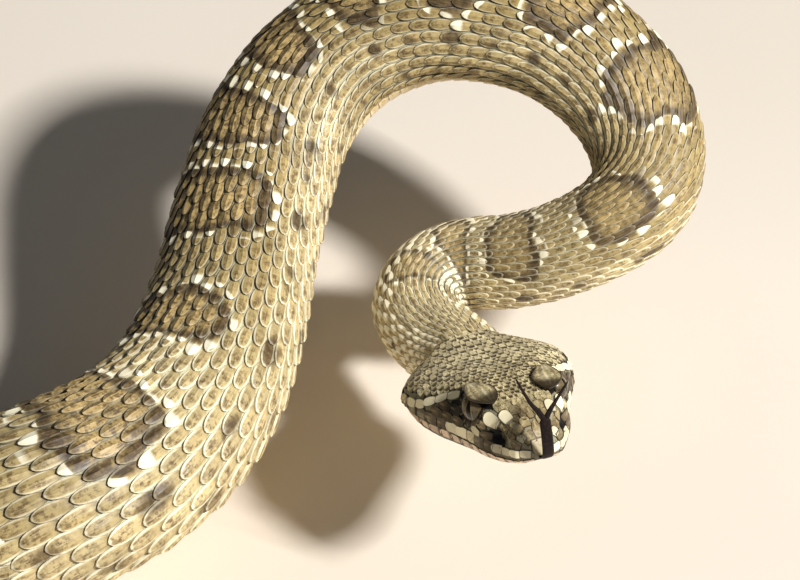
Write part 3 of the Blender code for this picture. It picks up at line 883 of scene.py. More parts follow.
THROAT_PITCH = 1.5               # from row to row under the jaw, mm
LABIALS = 14                     # plates along each lip
LABIAL_MIDDLES = (1.05, 0.85)    # from the lip to the middle of its plates, mm: upper, lower
# widths of the plates of the upper and the lower lip, by distance along it, mm
LABIAL_WIDTHS = (((0.0, 7.0, 11.0), (1.75, 1.75, 2.7)), ((0.0, 8.0), (1.2, 2.2)))
LIP_EDGES = (89.4, 92.2)         # degrees round to the edge of the upper and of the lower lip
PLATE_CLEAR = 1.22               # small scales stay this share of a large plate's size away from it


def head_scales(finish, skin_form):
    """All the small scales and the plates of the head, as one piece."""
    lots = [crown(skin_form), throat(skin_form)]
    for side in (1, -1):
        lots.append(labials(skin_form, side, True))
        lots.append(labials(skin_form, side, False))
        lots.append(cheek(skin_form, side))
        lots.append(stripe_scales(skin_form, side))
    lots.append(eye_rims(skin_form))
    lots.append(big_plates(skin_form))
    parts, marks, randoms, uvs = [], [], [], []
    random = np.random.default_rng(SEED + 2)
    for form, centre, way, long, wide, high, mark in lots:
        chance = random.random((len(centre), 3))
        places = on_skin(skin_form, form, centre, way, long, wide, high, chance)
        parts.append((on_head(places).reshape(-1, 3), form.many(len(centre))))
        marks.append(np.repeat(mark, len(form.x), axis=0))
        randoms.append(cells(form, chance[:, 0]))
        uvs.append(head_map(form, centre))
    for side in (1, -1):
        points, faces, mark, cell = supraocular(side)
        parts.append((points, faces))
        marks.append(mark)
        randoms.append(cell)
        uvs.append(np.stack([0.30 + 0.01 * cell[:, 1], 0.5 + side * 0.1 + 0.01 * cell[:, 0]], -1))
    points, faces = joined(parts)
    piece = new_piece("head_scales", points, faces, finish)
    give(piece, "mark", np.concatenate(marks))
    give(piece, "cell", np.concatenate(randoms))
    give_map(piece, np.concatenate(uvs))


def head_map(form, centre):
    """The head's unwrap: distance back along one way, angle round the head along the other."""
    angle = np.arctan2(centre[:, 1], centre[:, 2] - 1.0)
    map_u = 0.03 + centre[:, 0] / 49.0
    map_v = 0.5 + angle / (2 * math.pi) * 0.96
    map_u = map_u[:, None] + 0.007 * (1 - 2 * form.down[None, :])
    map_v = map_v[:, None] + 0.007 * form.side[None, :]
    return np.stack([map_u, map_v], -1).reshape(-1, 2)


def on_skin(skin_form, form, centre, way, long, wide, high, chance):
    """Scales laid on the skin of the head around their middles."""
    base, outward = skin_form.nearest(centre)
    way = unit(way - outward * (way * outward).sum(-1, keepdims=True))
    across = np.cross(outward, way)
    turn = (chance[:, 1:2] - 0.5) * 0.20
    way, across = way * np.cos(turn) + across * np.sin(turn), across * np.cos(turn) - way * np.sin(turn)
    down = ((form.y - 0.5)[None, :] * long[:, None])[..., None]
    side = (form.x[None, :] * wide[:, None] / 2)[..., None]
    spread = base[:, None] + way[:, None] * down - across[:, None] * side
    near, out_there = skin_form.nearest(spread.reshape(-1, 3))
    near, out_there = near.reshape(spread.shape), out_there.reshape(spread.shape)
    lift_way = unit(0.55 * out_there + 0.45 * outward[:, None])
    lift = form.high[None, :] * (high * HEAD_COAT * (0.85 + 0.3 * chance[:, 2]))[:, None]
    return near + lift_way * lift[..., None]


def clear_of_plates(skin_form, centre):
    """Which places are outside every large plate, the brow plates, the eyes and the pits."""
    back, out, up = centre[:, 0], np.abs(centre[:, 1]), centre[:, 2]
    clear = np.ones(len(centre), dtype=bool)
    for _, plate_back, round_by, long, wide, _, _, _ in HEAD_PLATES:
        at = skin_form.at(plate_back, round_by)
        apart = np.sqrt((back - at[0]) ** 2 + (out - at[1]) ** 2 + (up - at[2]) ** 2)
        clear &= apart > PLATE_CLEAR * (long + wide) / 4
    brow = ((back - BROW_AT[0]) / (BROW_LONG / 2)) ** 2 + ((out - BROW_AT[1]) / (BROW_WIDE / 2)) ** 2
    clear &= ~((brow < 1) & (up > 8.0))
    eye = ((back - EYE_AT[0]) / 3.7) ** 2 + ((up - EYE_AT[2]) / 3.7) ** 2
    clear &= ~((eye < 1) & (out > 6.0))
    pit = ((back - PIT_AT[0]) / 2.7) ** 2 + ((up - PIT_AT[2]) / 1.7) ** 2
    clear &= ~((pit < 1) & (out > 5.0))
    return clear & ((back > 1.6) | (out > 2.4) | (up > 5.2))


def crown(skin_form):
    """The small keeled scales of the top of the head, row by row."""
    places, ways, wides = [], [], []
    back, number = 1.8, 0
    while back < 46.2:
        spacing = float(np.interp(back, *CROWN_SPACING))
        ring = skin_form.ring(back)[np.abs(ROUND) < math.radians(88)]
        lowest = float(np.interp(back, (4.0, 9.0, 14.0), (3.4, 6.0, 7.0)))
        if back > 15.0:
            half, run = skin_form.up_side(back, 1)
            edge = np.interp(np.interp(back, *REAR_STRIPE), half[:, 2], run) + 1.25
            lowest = float(np.interp(edge - 3.0 * smooth(38.0, 45.0, back), run, half[:, 2]))
        line = ring[ring[:, 2] > lowest]
        row = spaced(line, spacing, 0.5 * (number % 2))
        if len(row):
            places.append(row)
            ways.append(skin_form.nearest(row + np.array([0.8, 0.0, 0.0]))[0] - row)
            wides.append(np.full(len(row), spacing))
        back += CROWN_ROWS * spacing
        number += 1
    places, ways, wides = np.concatenate(places), np.concatenate(ways), np.concatenate(wides)
    clear = clear_of_plates(skin_form, places)
    places, ways, wides = places[clear], unit(ways[clear]), wides[clear]
    mark = head_markings(places) * np.array([1.0, 1.0, 0.0, 1.0])
    mark[:, 2] = 0.25 * smooth(20.0, 30.0, places[:, 0])
    high = 0.75 + 0.75 * smooth(9.0, 30.0, places[:, 0])
    return LEAF, places, ways, wides * CROWN_LONG, wides, high, mark


def cheek(skin_form, side):
    """The larger rounded scales between the lip and the stripe behind the eye."""
    places = []
    for row in range(SIDE_ROWS[2]):
        for back in np.arange(9.0, 45.5, SIDE_SPACING) + 0.5 * SIDE_SPACING * (row % 2):
            line, run = skin_form.up_side(min(back, 46.2), side)
            place = along_line(line, run, SIDE_ROWS[0] + SIDE_ROWS[1] * row)
            top = np.interp(back, *REAR_STRIPE) - 1.1 if back > 15.0 else 6.2
            if place[2] < top:
                places.append(place)
    places = np.array(places)
    places = places[clear_of_plates(skin_form, places)]
    ways = skin_form.nearest(places + np.array([0.8, 0.0, 0.0]))[0] - places
    count = len(places)
    size = 1.0 - 0.12 * smooth(17.0, 12.0, places[:, 0])
    return ROUND_LEAF, places, unit(ways), 3.6 * size, 2.1 * size, np.full(count, 1.5), \
        head_markings(places)


def stripe_scales(skin_form, side):
    """The row of round pale scales behind the eye."""
    line = []
    for back in np.arange(REAR_STRIPE_ENDS[0] + 0.4, REAR_STRIPE_ENDS[1] + 6.0, 0.2):
        half, _ = skin_form.up_side(back, side)
        height = float(np.interp(back, *REAR_STRIPE))
        line.append(along_line(half, half[:, 2], height))
    line = np.array(line)
    run = distances(line)
    stops = np.arange(1.4, run[-1], STRIPE_SPACING)
    places, ahead = (along_line(line, run, stops + d) for d in (0.0, 0.4))
    mark = head_markings(places)
    count = len(places)
    return ROUND_LEAF, places, unit(ahead - places + 1e-9), np.full(count, 3.7), np.full(count, 2.0), \
        np.full(count, 1.8), mark


def throat(skin_form):
    """The smooth scales under the jaw."""
    places, wides = [], []
    back, number = 3.0, 0
    while back < 47.0:
        ring = skin_form.ring(min(back, 46.0))
        lip = float(np.interp(back, HEAD_FORM[:, 0], HEAD_FORM[:, 4]))
        line = ring[np.abs(ROUND) > math.pi / 2]
        line = np.concatenate([line[line[:, 1] < 0][::-1], line[line[:, 1] >= 0]])
        line = line[np.argsort(line[:, 1])]
        line = line[line[:, 2] < lip - 2.7 * smooth(44.0, 37.0, back)]
        if len(line) > 2:
            run = distances(line)
            spacing = float(np.interp(back, (3.0, 36.0), (1.6, 2.3)))
            count = max(1, int(run[-1] / spacing) - number % 2)
            stops = run[-1] / 2 + (np.arange(count) - (count - 1) / 2) * spacing
            places.append(along_line(line, run, stops))
            wides.append(np.full(count, spacing))
        back += THROAT_PITCH
        number += 1
    places, wides = np.concatenate(places), np.concatenate(wides)
    ways = np.tile([1.0, 0.0, 0.0], (len(places), 1))
    return SMOOTH_LEAF, places, ways, wides * 1.75, wides * 1.02, np.full(len(places), 0.8), \
        head_markings(places)


def labials(skin_form, side, upper):
    """The plates along one lip, from the snout to the corner of the mouth."""
    line = []
    for back in np.linspace(0.4, MOUTH_ENDS - 0.5, 120):
        half, run = skin_form.up_side(back, side, upper)
        line.append(along_line(half, run, LABIAL_MIDDLES[0 if upper else 1]))
    line = np.array(line)
    line = np.vstack([[[-0.25, side * 2.4, line[0, 2]]], line])
    run = distances(line)
    sizes = np.linspace(0.72, 1.15, LABIALS)
    ends = np.concatenate([[0.0], np.cumsum(sizes)]) / sizes.sum() * run[-1]
    stops = (ends[1:] + ends[:-1]) / 2
    centre, after = (along_line(line, run, stops + d) for d in (0.0, 0.5))
    width = np.interp(stops, *LABIAL_WIDTHS[0 if upper else 1])
    mark = head_markings(centre)
    return LABIAL, centre, unit(after - centre), np.diff(ends) * 1.18, width, np.full(LABIALS, 1.25), mark


def eye_rims(skin_form):
    """The ring of small scales round each eye, under the brow plate."""
    places, ways = [], []
    for side in (1, -1):
        for turn in np.radians(np.arange(-200, 26, 22.5)):
            places.append([EYE_AT[0] - 3.55 * math.cos(turn), side * 9.2, EYE_AT[2] + 3.45 * math.sin(turn)])
            ways.append([-math.cos(turn), 0.0, math.sin(turn)])
    places, ways = np.array(places), np.array(ways)
    places = skin_form.nearest(places)[0]
    mark = head_markings(places)
    # painted shade: the rim scales are darkened and lose most of their pale, as if in the brow's shadow
    mark[:, 0] = np.maximum(mark[:, 0], 0.75)
    mark[:, 2] *= 0.3
    count = len(places)
    return ROUND_LEAF, places, ways, np.full(count, 1.6), np.full(count, 1.5), np.full(count, 1.4), mark


def big_plates(skin_form):
    """The large plates of the snout and face."""
    centre, long, wide, high, mark = [list(ROSTRAL)], [3.6], [4.0], [1.7], [(0.35, 0.0, 0.2, 0.8)]
    for _, back, round_by, length, width, height, pale, dark in HEAD_PLATES:
        for side in (1, -1):
            centre.append(skin_form.at(back, side * round_by))
            long.append(length)
            wide.append(width)
            high.append(height)
            mark.append((dark, 0.0, pale, 0.8))
    centre = np.array(centre)
    ways = skin_form.nearest(centre + np.array([0.9, 0.0, 0.0]))[0] - centre
    ways[0] = (0.1, 0.0, -1.0)
    return PLATE, centre, unit(ways), np.array(long), np.array(wide), np.array(high), np.array(mark)


# ---------------------------------------------------------------- brows, eyes, tongue, rattle

BALL_RADIUS = 3.0
EYE_RINGS, EYE_SIDES = 40, 48
EYE_AT = (14.8, 7.2, 7.4)    # back from the snout, out from the middle, up from the mouth line
EYE_LOOK = (-0.80, 1.0, 0.02)    # which way the eye looks: back, out, up
BROW_AT = (14.3, 6.7, 10.40)     # the middle of the brow plate, as for the eye
BROW_GRID = 25                   # points across and along it
BROW_LONG, BROW_WIDE, BROW_THICK = 10.4, 5.4, 0.45
BROW_REAR = (1.0, 0.20, 0.0)   # which way the brow plate's rear end points
BROW_UP = (-0.05, 0.06, 1.0)      # which way it faces


def supraocular(side):
    """The stout plate that roofs an eye: its points, faces, markings and cells."""
    steps = np.linspace(-1, 1, BROW_GRID)
    across, along = (g.reshape(-1) for g in np.meshgrid(steps, steps))
    half = (1 - np.abs(along) ** 1.7) ** 0.70 * (1.04 - 0.18 * along) + 0.03
    rear = unit(np.array([BROW_REAR[0], side * BROW_REAR[1], BROW_REAR[2]]))
    facing = np.array([BROW_UP[0], side * BROW_UP[1], BROW_UP[2]])
    facing = unit(facing - rear * facing.dot(rear))
    outward = np.cross(facing, rear) * side
    outward = outward * np.sign(outward[1] * side)
    flat_x, flat_y = across * half * BROW_WIDE / 2, along * BROW_LONG / 2
    dome = 0.05 * (1 - across ** 6) * (1 - along ** 6)
    lines = [(0.20, -0.62, 0.15), (0.24, -0.14, 0.15), (0.20, 0.30, 0.14), (0.16, 0.72, 0.12)]
    ridge = sum(depth * np.exp(-((across - at + 0.30 * along) / wide) ** 2) for depth, at, wide in lines)
    ridge = ridge * (1 - along ** 2)
    droop = -0.09 * (flat_x / 2.6) ** 2 - 0.011 * flat_y ** 2
    place = np.array([BROW_AT[0], side * BROW_AT[1], BROW_AT[2]])
    middle = place + flat_y[:, None] * rear + flat_x[:, None] * outward
    top = middle + (dome + ridge + droop)[:, None] * facing
    low = middle + (droop - BROW_THICK * (0.55 + 0.45 * (1 - np.abs(across) ** 3)))[:, None] * facing
    faces = closed_sheet(BROW_GRID, BROW_GRID)
    if np.dot(np.cross(outward, rear), facing) < 0:
        faces = reversed_faces(*faces)
    cell = np.stack([np.tile(across, 2), np.tile((along + 1) / 2, 2), np.full(2 * len(across), 0.5)], -1)
    return on_head(np.concatenate([top, low])), faces, brow_marks(across, along, ridge), cell

def brow_marks(across, along, ridge):
    """The markings of a brow plate: brown in its grooves, painted highlights near both ends, and painted
    shade along its edge and underneath.
    """
    groove = 1 - np.clip(ridge / 0.20, 0, 1)
    # painted highlights on the plate's top, near both ends
    light = 0.75 * np.exp(-((across - 0.1) / 0.5) ** 2 - ((along - 0.72) / 0.22) ** 2)
    light = light + 0.45 * np.exp(-((across + 0.1) / 0.3) ** 2 - ((along + 0.35) / 0.35) ** 2)
    light = np.minimum(light * (1 - 0.5 * groove), 1.0)
    # painted shade along the plate's edge and, on its lower side, under it
    edge = smooth(0.80, 0.97, np.maximum(np.abs(across), np.abs(along)))
    dark = np.concatenate([0.16 + 0.62 * groove ** 2 + 0.15 * edge, 1.3 + 0 * groove])
    light = np.concatenate([light, 0 * light])
    return np.stack([dark * (1 - light), 0 * light, light, 0 * light + 0.1], -1)


def reversed_faces(corners, sizes):
    """The same four-cornered faces, turned to face the other way."""
    return corners.reshape(-1, 4)[:, ::-1].reshape(-1), sizes


def eyes(finish):
    """Each eye is a ball with a slightly bulging clear front; its points know where they look."""
    for side, name in ((1, "eye_left"), (-1, "eye_right")):
        look = unit(np.array([EYE_LOOK[0], side * EYE_LOOK[1], EYE_LOOK[2]]))
        upward = unit(np.array([0.0, 0.0, 1.0]) - look * look[2])
        across = np.cross(upward, look)
        turn, tilt = (g.reshape(-1) for g in np.meshgrid(
            np.linspace(0, 2 * math.pi, EYE_SIDES, endpoint=False),
            np.linspace(0.02, math.pi - 0.02, EYE_RINGS)))
        local = np.stack([np.sin(tilt) * np.cos(turn), np.sin(tilt) * np.sin(turn), np.cos(tilt)], -1)
        bulge = 1 + 0.035 * np.exp(-(tilt / 0.55) ** 2)
        way = local[:, :1] * across + local[:, 1:2] * upward + local[:, 2:] * look
        middle = np.array([EYE_AT[0] - 0.2, side * (EYE_AT[1] + 0.35), EYE_AT[2] - 0.1])
        points = on_head(middle + way * (BALL_RADIUS * bulge)[:, None])
        faces = facing_out(points, tube_faces(EYE_RINGS, EYE_SIDES))
        piece = new_piece(name + "_ball", points, faces, finish, [name], 60.0)
        give(piece, "look", local)


def facing_out(points, faces):
    """The faces turned so that they look away from the middle of the points."""
    corners, sizes = faces
    a, b, c = (points[corners[i:4 * EYE_RINGS:4]] for i in (0, 1, 2))
    normal = np.cross(b - a, c - b)
    if (normal * ((a + c) / 2 - points.mean(axis=0))).sum() < 0:
        starts = np.concatenate([[0], np.cumsum(sizes)[:-1]])
        corners = np.concatenate([corners[i:i + n][::-1] for i, n in zip(starts, sizes)])
    return corners, sizes


TONGUE_STEM = [(2.5, 0.4, 0.7), (-0.9, 0.5, 1.4), (-3.0, 0.4, 3.0), (-4.2, 0.25, 7.0), (-4.4, 0.2, 11.4)]
TONGUE_TINES = [
    [(-4.4, 0.5, 10.0), (-4.3, -1.0, 12.9), (-4.0, -2.3, 15.2), (-3.4, -4.2, 20.3)],
    [(-4.4, -0.1, 10.0), (-4.3, 1.3, 12.2), (-4.0, 2.9, 13.9), (-3.4, 5.9, 17.0)],
]


def curve_through(stops, count):
    """Evenly spread points on a smooth curve through a few stops (Catmull-Rom)."""
    stops = np.array(stops, dtype=float)
    padded = np.vstack([2 * stops[0] - stops[1], stops, 2 * stops[-1] - stops[-2]])
    out = []
    for value in np.linspace(0, len(stops) - 1, count):
        i = min(int(value), len(stops) - 2)
        t = value - i
        a, b, c, d = padded[i:i + 4]
        out.append(0.5 * (2 * b + (c - a) * t + (2 * a - 5 * b + 4 * c - d) * t * t
                          + (3 * b - a - 3 * c + d) * t ** 3))
    return np.array(out)


def soft_rod(stops, wide, thick, count, sides=14):
    """A soft flat rod along a few stops on the head, rounded at its end and grooved on top."""
    line = on_head(curve_through(stops, count))
    run = unit(np.gradient(line, axis=0))
    across = unit(HEAD_LEFT - run * (run @ HEAD_LEFT)[:, None])
    through = np.cross(run, across)
    share = np.linspace(0, 1, count)[:, None]
    close = np.sqrt(np.clip((1.0 - share) / 0.05, 0.02, 1.0))
    turn = np.linspace(0, 2 * math.pi, sides, endpoint=False)[None, :]
    width = (wide[0] + (wide[1] - wide[0]) * share) * close * np.cos(turn)
    groove = 1 - 0.30 * np.exp(-(np.cos(turn) / 0.35) ** 2)
    depth = (thick[0] + (thick[1] - thick[0]) * share) * close * np.sin(turn) * groove
    points = line[:, None] + across[:, None] * width[..., None] + through[:, None] * depth[..., None]
    return points.reshape(-1, 3), tube_faces(count, sides, turned=True)


def tongue(finish):
    """The forked tongue, raised in front of the face."""
    parts = [soft_rod(TONGUE_STEM, (1.25, 1.12), (0.5, 0.5), 44)]
    parts += [soft_rod(stops, (0.66, 0.20), (0.42, 0.20), 40) for stops in TONGUE_TINES]
    points, faces = joined(parts)
    new_piece("tongue_soft", points, faces, finish, ["tongue"], 60.0)


RATTLE_RINGS = 9
RATTLE_FLAT = 0.62           # width of the rattle, as a share of its height
RATTLE_SIDES = 48            # points round a ring, and rows of points along it
RATTLE_STEPS = 16


def rattle(finish):
    """The rattle: horny rings, each with three bulges and overlapping the next."""
    begin, end = MARKS["rattle"][0], MARKS["rattle"][1]
    parts = []
    for ring in range(RATTLE_RINGS):
        low = begin + (end - begin) * ring / RATTLE_RINGS
        high = begin + (end - begin) * (ring + 1.25) / RATTLE_RINGS
        parts.append(rattle_ring(low, min(high, end), ring))
    points, faces = joined(parts)
    piece = new_piece("rattle_horn", points, faces, finish, ["rattle"], 40.0)
    turns = np.concatenate([np.full(len(p), (i * 0.37) % 1.0) for i, (p, _) in enumerate(parts)])
    give(piece, "cell", np.stack([turns * 0, turns * 0, turns], -1))


def rattle_ring(low, high, number):
    """One ring of the rattle, bulging at its front and drawn in at its rear."""
    share = np.linspace(0, 1, RATTLE_STEPS)
    s = low + (high - low) * share
    swell = 0.66 + 0.34 * np.sin(math.pi * np.clip(share * 1.15, 0, 1)) ** 0.7
    swell += 0.10 * np.exp(-((share - 0.62) / 0.10) ** 2) - 0.07 * np.exp(-((share - 0.42) / 0.07) ** 2)
    swell[0] *= 0.72
    swell[-1] *= 0.85
    turn = np.linspace(0, 2 * math.pi, RATTLE_SIDES, endpoint=False)
    waist = 1 - 0.16 * np.exp(-((np.cos(turn)) / 0.28) ** 2)
    size = read(RADIUS, s)[:, None] * 1.16 * swell[:, None]
    centre, left, back = (read(t, s)[:, None] for t in (POINTS, LEFT, BACK))
    points = (centre + left * (np.sin(turn) * waist * size * RATTLE_FLAT)[..., None]
              + back * (np.cos(turn) * size)[..., None])
    return points.reshape(-1, 3), tube_faces(RATTLE_STEPS, RATTLE_SIDES, turned=True)


# ---------------------------------------------------------------- finishes

def tone(red, green, blue):
    """A colour given as it looks on a screen, 0 to 255, in the linear numbers that Blender uses."""
    shares = np.array([red, green, blue]) / 255.0
    linear = np.where(shares <= 0.04045, shares / 12.92, ((shares + 0.055) / 1.055) ** 2.4)
    return (*[float(v) for v in linear], 1.0)


OLIVE = tone(162, 142, 90)       # the back between the blotches
FLANK = tone(204, 186, 138)      # lower on the sides
BLOTCH = tone(182, 156, 102)
RIM = tone(52, 37, 20)
CREAM = tone(250, 242, 212)
SPECKLE = tone(88, 64, 34)
# SHADE is painted shade at the roots and walls of scales; it is also the colour of the skin's dark flecks
SHADE = tone(42, 30, 16)         # at the roots of scales
SKIN_PALE = tone(196, 196, 166)
# SKIN_DARK is the skin in blotches and the painted shade between the scales of the back and head
SKIN_DARK = tone(92, 80, 58)
BELLY = tone(240, 222, 178)
CROWN = tone(250, 232, 178)
CROWN_DARK = tone(88, 72, 48)
SNOUT_GREY = tone(150, 132, 94)
SKIN_WARM = tone(196, 186, 150)
# painted shade: black skin in the pits, nostrils, under the brows and round the eyes
SKIN_SHADE_BLACK = tone(8, 6, 4)
BELLY_WARM = tone(228, 200, 146)
BELLY_SPOT = tone(150, 116, 74)
# painted shade at the roots of the belly plates
BELLY_ROOT_SHADE = tone(140, 112, 72)
SNOUT_BROWN = tone(96, 78, 50)
# painted shade: black on head scales round the eyes, in the pits and under the brows
HEAD_SHADE_BLACK = tone(14, 9, 5)
THROAT = tone(232, 204, 172)
FRECKLE = tone(70, 54, 30)
# painted highlight on the keels of the head's scales
KEEL_HIGHLIGHT = tone(206, 192, 146)
STRIPE_CREAM = tone(255, 244, 206)
IRIS = tone(86, 72, 46)
IRIS_DARK = tone(30, 24, 16)
IRIS_TOP = tone(140, 124, 90)
PUPIL_RING = tone(132, 112, 74)
PUPIL = tone(8, 6, 5)
EYE_EDGE = tone(20, 15, 11)
TONGUE_BLACK = tone(14, 9, 8)
TONGUE_BROWN = tone(36, 22, 18)
HORN = tone(196, 170, 122)
HORN_BROWN = tone(138, 108, 68)
HORN_DARK = tone(86, 64, 40)
FLOOR_PALE = tone(224, 214, 200)
FLOOR_PALER = tone(228, 219, 206)


class Finish:
    """A material built up from nodes."""

    def __init__(self, name, **settings):
        self.made = bpy.data.materials.new(name)
        self.made.use_nodes = True
        self.tree = self.made.node_tree
        self.shader = self.tree.nodes["Principled BSDF"]
        for key, value in settings.items():
            self.shader.inputs[key.replace("_", " ")].default_value = value

    def node(self, kind, feeds, out=0, **settings):
        """A new node with its inputs fed from sockets or constants; returns one of its outputs."""
        made = self.tree.nodes.new("ShaderNode" + kind)
        for key, value in settings.items():
            setattr(made, key, value)
        for key, value in feeds.items():
            self.feed(made.inputs[key], value)
        return made.outputs[out]

    def feed(self, socket, value):
        if isinstance(value, bpy.types.NodeSocket):
            self.tree.links.new(value, socket)
        else:
            socket.default_value = value

    def to(self, name, value):
        """Feed one of the shader's own sockets."""
        self.feed(self.shader.inputs[name], value)

    def math(self, how, a, b=0.5):
        """A number worked out from one or two others."""
        return self.node("Math", {0: a, 1: b}, operation=how)

    def times(self, a, b):
        return self.math("MULTIPLY", a, b)

    def most(self, a, b):
        return self.math("MAXIMUM", a, b)

    def varied(self, colour, random, low, high):
        """The colour made darker or lighter by the scale's random number."""
        bright = self.ramp(random, 0.0, 1.0, low, high)
        grey = self.node("CombineColor", {0: bright, 1: bright, 2: bright})
        return self.mix(1.0, colour, grey, "MULTIPLY")

    def ramp(self, value, low, high, start=0.0, end=1.0):
        """From start to end, smoothly, as the value goes from low to high."""
        feeds = {"Value": value, "From Min": low, "From Max": high, "To Min": start, "To Max": end}
        return self.node("MapRange", feeds, interpolation_type="SMOOTHSTEP")

    def mix(self, share, a, b, how="MIX"):
        """Colour a turned into colour b by a share."""
        return self.node("Mix", {0: share, 6: a, 7: b}, out=2, data_type="RGBA", blend_type=how)

    def parts(self, name, colour=False):
        """The separate numbers of an attribute."""
        source = self.tree.nodes.new("ShaderNodeAttribute")
        source.attribute_name = name
        if colour:
            split = self.node("SeparateColor", {0: source.outputs["Color"]})
            return [split.node.outputs[i] for i in range(3)] + [source.outputs["Alpha"]]
        split = self.node("SeparateXYZ", {0: source.outputs["Vector"]})
        return [split.node.outputs[i] for i in range(3)]

    def place(self):
        """The place of a point on its piece, in metres."""
        return self.node("TexCoord", {}, out="Object")

    def noise(self, size, detail=2.0, vector=None, rough=0.5):
        """Soft noise whose lumps are about `size` mm across."""
        feeds = {"Vector": vector or self.place(), "Scale": 1.0 / (size * MM) if vector is None else size,
                 "Detail": detail, "Roughness": rough}
        return self.node("TexNoise", feeds)

    def bump(self, height, depth, strength=1.0):
        """A relief of so many mm, from a height between 0 and 1."""
        self.to("Normal", self.node("Bump", {"Height": height, "Distance": depth * MM,
                                             "Strength": strength}))


def scale_finish():
    """Keeled scales of the back and flanks: ground, blotches, dark rims, cream edges, speckles, and painted
    shade at the roots and walls of each scale.
    """
    made = Finish("Keeled scales", Roughness=0.5)
    blotch, rim, pale, flank = made.parts("mark", colour=True)
    side, down, random = made.parts("cell")
    away = made.math("ABSOLUTE", side)
    streak_place = made.node("CombineXYZ", {0: made.times(side, 3.2), 1: made.times(down, 1.3),
                                            2: made.times(random, 60.0)})
    streak = made.noise(1.6, 3.0, streak_place, 0.6)
    broad = made.noise(9.0, 2.0)
    fine = made.noise(1.3, 5.0, None, 0.68)
    # paler down the sides; on the neck this is painted light, and on the arch painted shade keeps it nearer
    # the olive
    colour = made.mix(flank, OLIVE, FLANK)
    colour = made.mix(made.ramp(broad, 0.35, 0.68, 0.0, 0.30), colour, BLOTCH)
    centre = made.times(made.ramp(away, 0.90, 0.50), made.ramp(down, 0.15, 0.55, 0.25, 1.0))
    speckle = made.times(made.ramp(fine, 0.44, 0.58), made.ramp(streak, 0.36, 0.60, 0.5, 1.0))
    colour = made.mix(made.times(speckle, made.times(centre, 0.85)), colour, SPECKLE)
    colour = made.mix(blotch, colour, BLOTCH)
    veins = made.times(made.ramp(fine, 0.43, 0.58), made.ramp(streak, 0.36, 0.56, 0.4, 1.0))
    veins = made.times(veins, made.ramp(down, 0.96, 0.80, 0.3, 1.0))
    colour = made.mix(made.times(veins, made.times(blotch, 0.80)), colour, RIM)
    colour = made.mix(made.times(rim, made.ramp(streak, 0.30, 0.62, 1.0, 0.72)), colour, RIM)
    colour = made.mix(made.ramp(streak, 0.48, 0.68, 0.0, 0.34), colour, SPECKLE)
    edge = made.most(made.ramp(away, 0.66, 0.90), made.ramp(down, 0.90, 0.97, 0.0, 0.8))
    edge = made.times(edge, made.ramp(down, 0.10, 0.40))
    edge = made.times(edge, made.ramp(fine, 0.40, 0.70, 1.0, 0.5))
    edge_share = made.times(made.ramp(flank, 0.0, 0.8, 0.3, 1.0), made.ramp(blotch, 0.0, 1.0, 1.0, 0.25))
    colour = made.mix(made.times(edge, edge_share), colour, CREAM)
    cream = made.times(made.ramp(pale, 0.35, 0.65), made.ramp(down, 0.42, 0.62))
    cream = made.times(cream, made.ramp(random, 0.10, 0.28))
    colour = made.mix(cream, colour, CREAM)
    # painted shade at the root of each scale, where the scale before it overlaps, strongest on the back
    root_shade = made.times(made.ramp(down, 0.20, 0.02), made.ramp(flank, 0.0, 0.8, 0.8, 0.3))
    colour = made.mix(root_shade, colour, SHADE)
    # painted shade on the walls and tips of each scale, dark outlines strongest on the back
    wall = made.most(made.ramp(away, 0.89, 0.98), made.ramp(down, 0.975, 0.998))
    colour = made.mix(made.times(wall, made.ramp(flank, 0.0, 0.8, 0.85, 0.12)), colour, SHADE)
    made.to("Base Color", made.varied(colour, random, 0.86, 1.12))
    made.to("Roughness", made.ramp(streak, 0.2, 0.8, 0.42, 0.62))
    made.bump(streak, 0.05, 0.5)
    return made.made


def skin_finish():
    """The skin between the scales, darker in blotches, with painted shade in the gaps on the back and the
    head and black painted shade in the head's hollows.
    """
    made = Finish("Skin between scales", Roughness=0.6)
    blotch, _, _, flank = made.parts("mark", colour=True)
    fine, broad = made.noise(0.35, 3.0), made.noise(5.0, 2.0)
    colour = made.mix(made.ramp(broad, 0.3, 0.7), SKIN_PALE, SKIN_WARM)
    # darker in the blotches, and painted shade in the gaps between scales on the back and the head
    blotch_and_gap_shade = made.most(made.ramp(blotch, 0.2, 1.1, 0.0, 0.5), made.ramp(flank, 0.0, 0.6, 0.6, 0.0))
    colour = made.mix(blotch_and_gap_shade, colour, SKIN_DARK)
    colour = made.mix(made.ramp(fine, 0.52, 0.68, 0.0, 0.45), colour, SHADE)
    # painted shade: black in the pits, nostrils, under the brows and round the eyes
    colour = made.mix(made.ramp(blotch, 1.1, 1.5), colour, SKIN_SHADE_BLACK)
    made.to("Base Color", colour)
    made.to("Roughness", made.ramp(fine, 0.3, 0.7, 0.5, 0.7))
    made.bump(fine, 0.12, 0.6)
    return made.made


def belly_finish():
    """The smooth cream belly plates, with painted shade at their roots."""
    made = Finish("Belly plates", Roughness=0.38)
    side, down, _ = made.parts("cell")
    broad, fine = made.noise(4.0, 3.0), made.noise(0.6, 2.0)
    away = made.math("ABSOLUTE", side)
    colour = made.mix(made.ramp(broad, 0.35, 0.7), BELLY, BELLY_WARM)
    mottle = made.times(made.ramp(fine, 0.56, 0.68), made.ramp(away, 0.45, 0.95, 0.12, 0.55))
    colour = made.mix(mottle, colour, BELLY_SPOT)
    colour = made.mix(made.ramp(down, 0.86, 0.98, 0.0, 0.6), colour, CREAM)
    # painted shade at the root of each plate, under the one before it
    colour = made.mix(made.ramp(down, 0.14, 0.0, 0.0, 0.45), colour, BELLY_ROOT_SHADE)
    made.to("Base Color", colour)
    made.to("Roughness", made.ramp(fine, 0.3, 0.7, 0.30, 0.46))
    made.bump(broad, 0.05, 0.4)
    return made.made


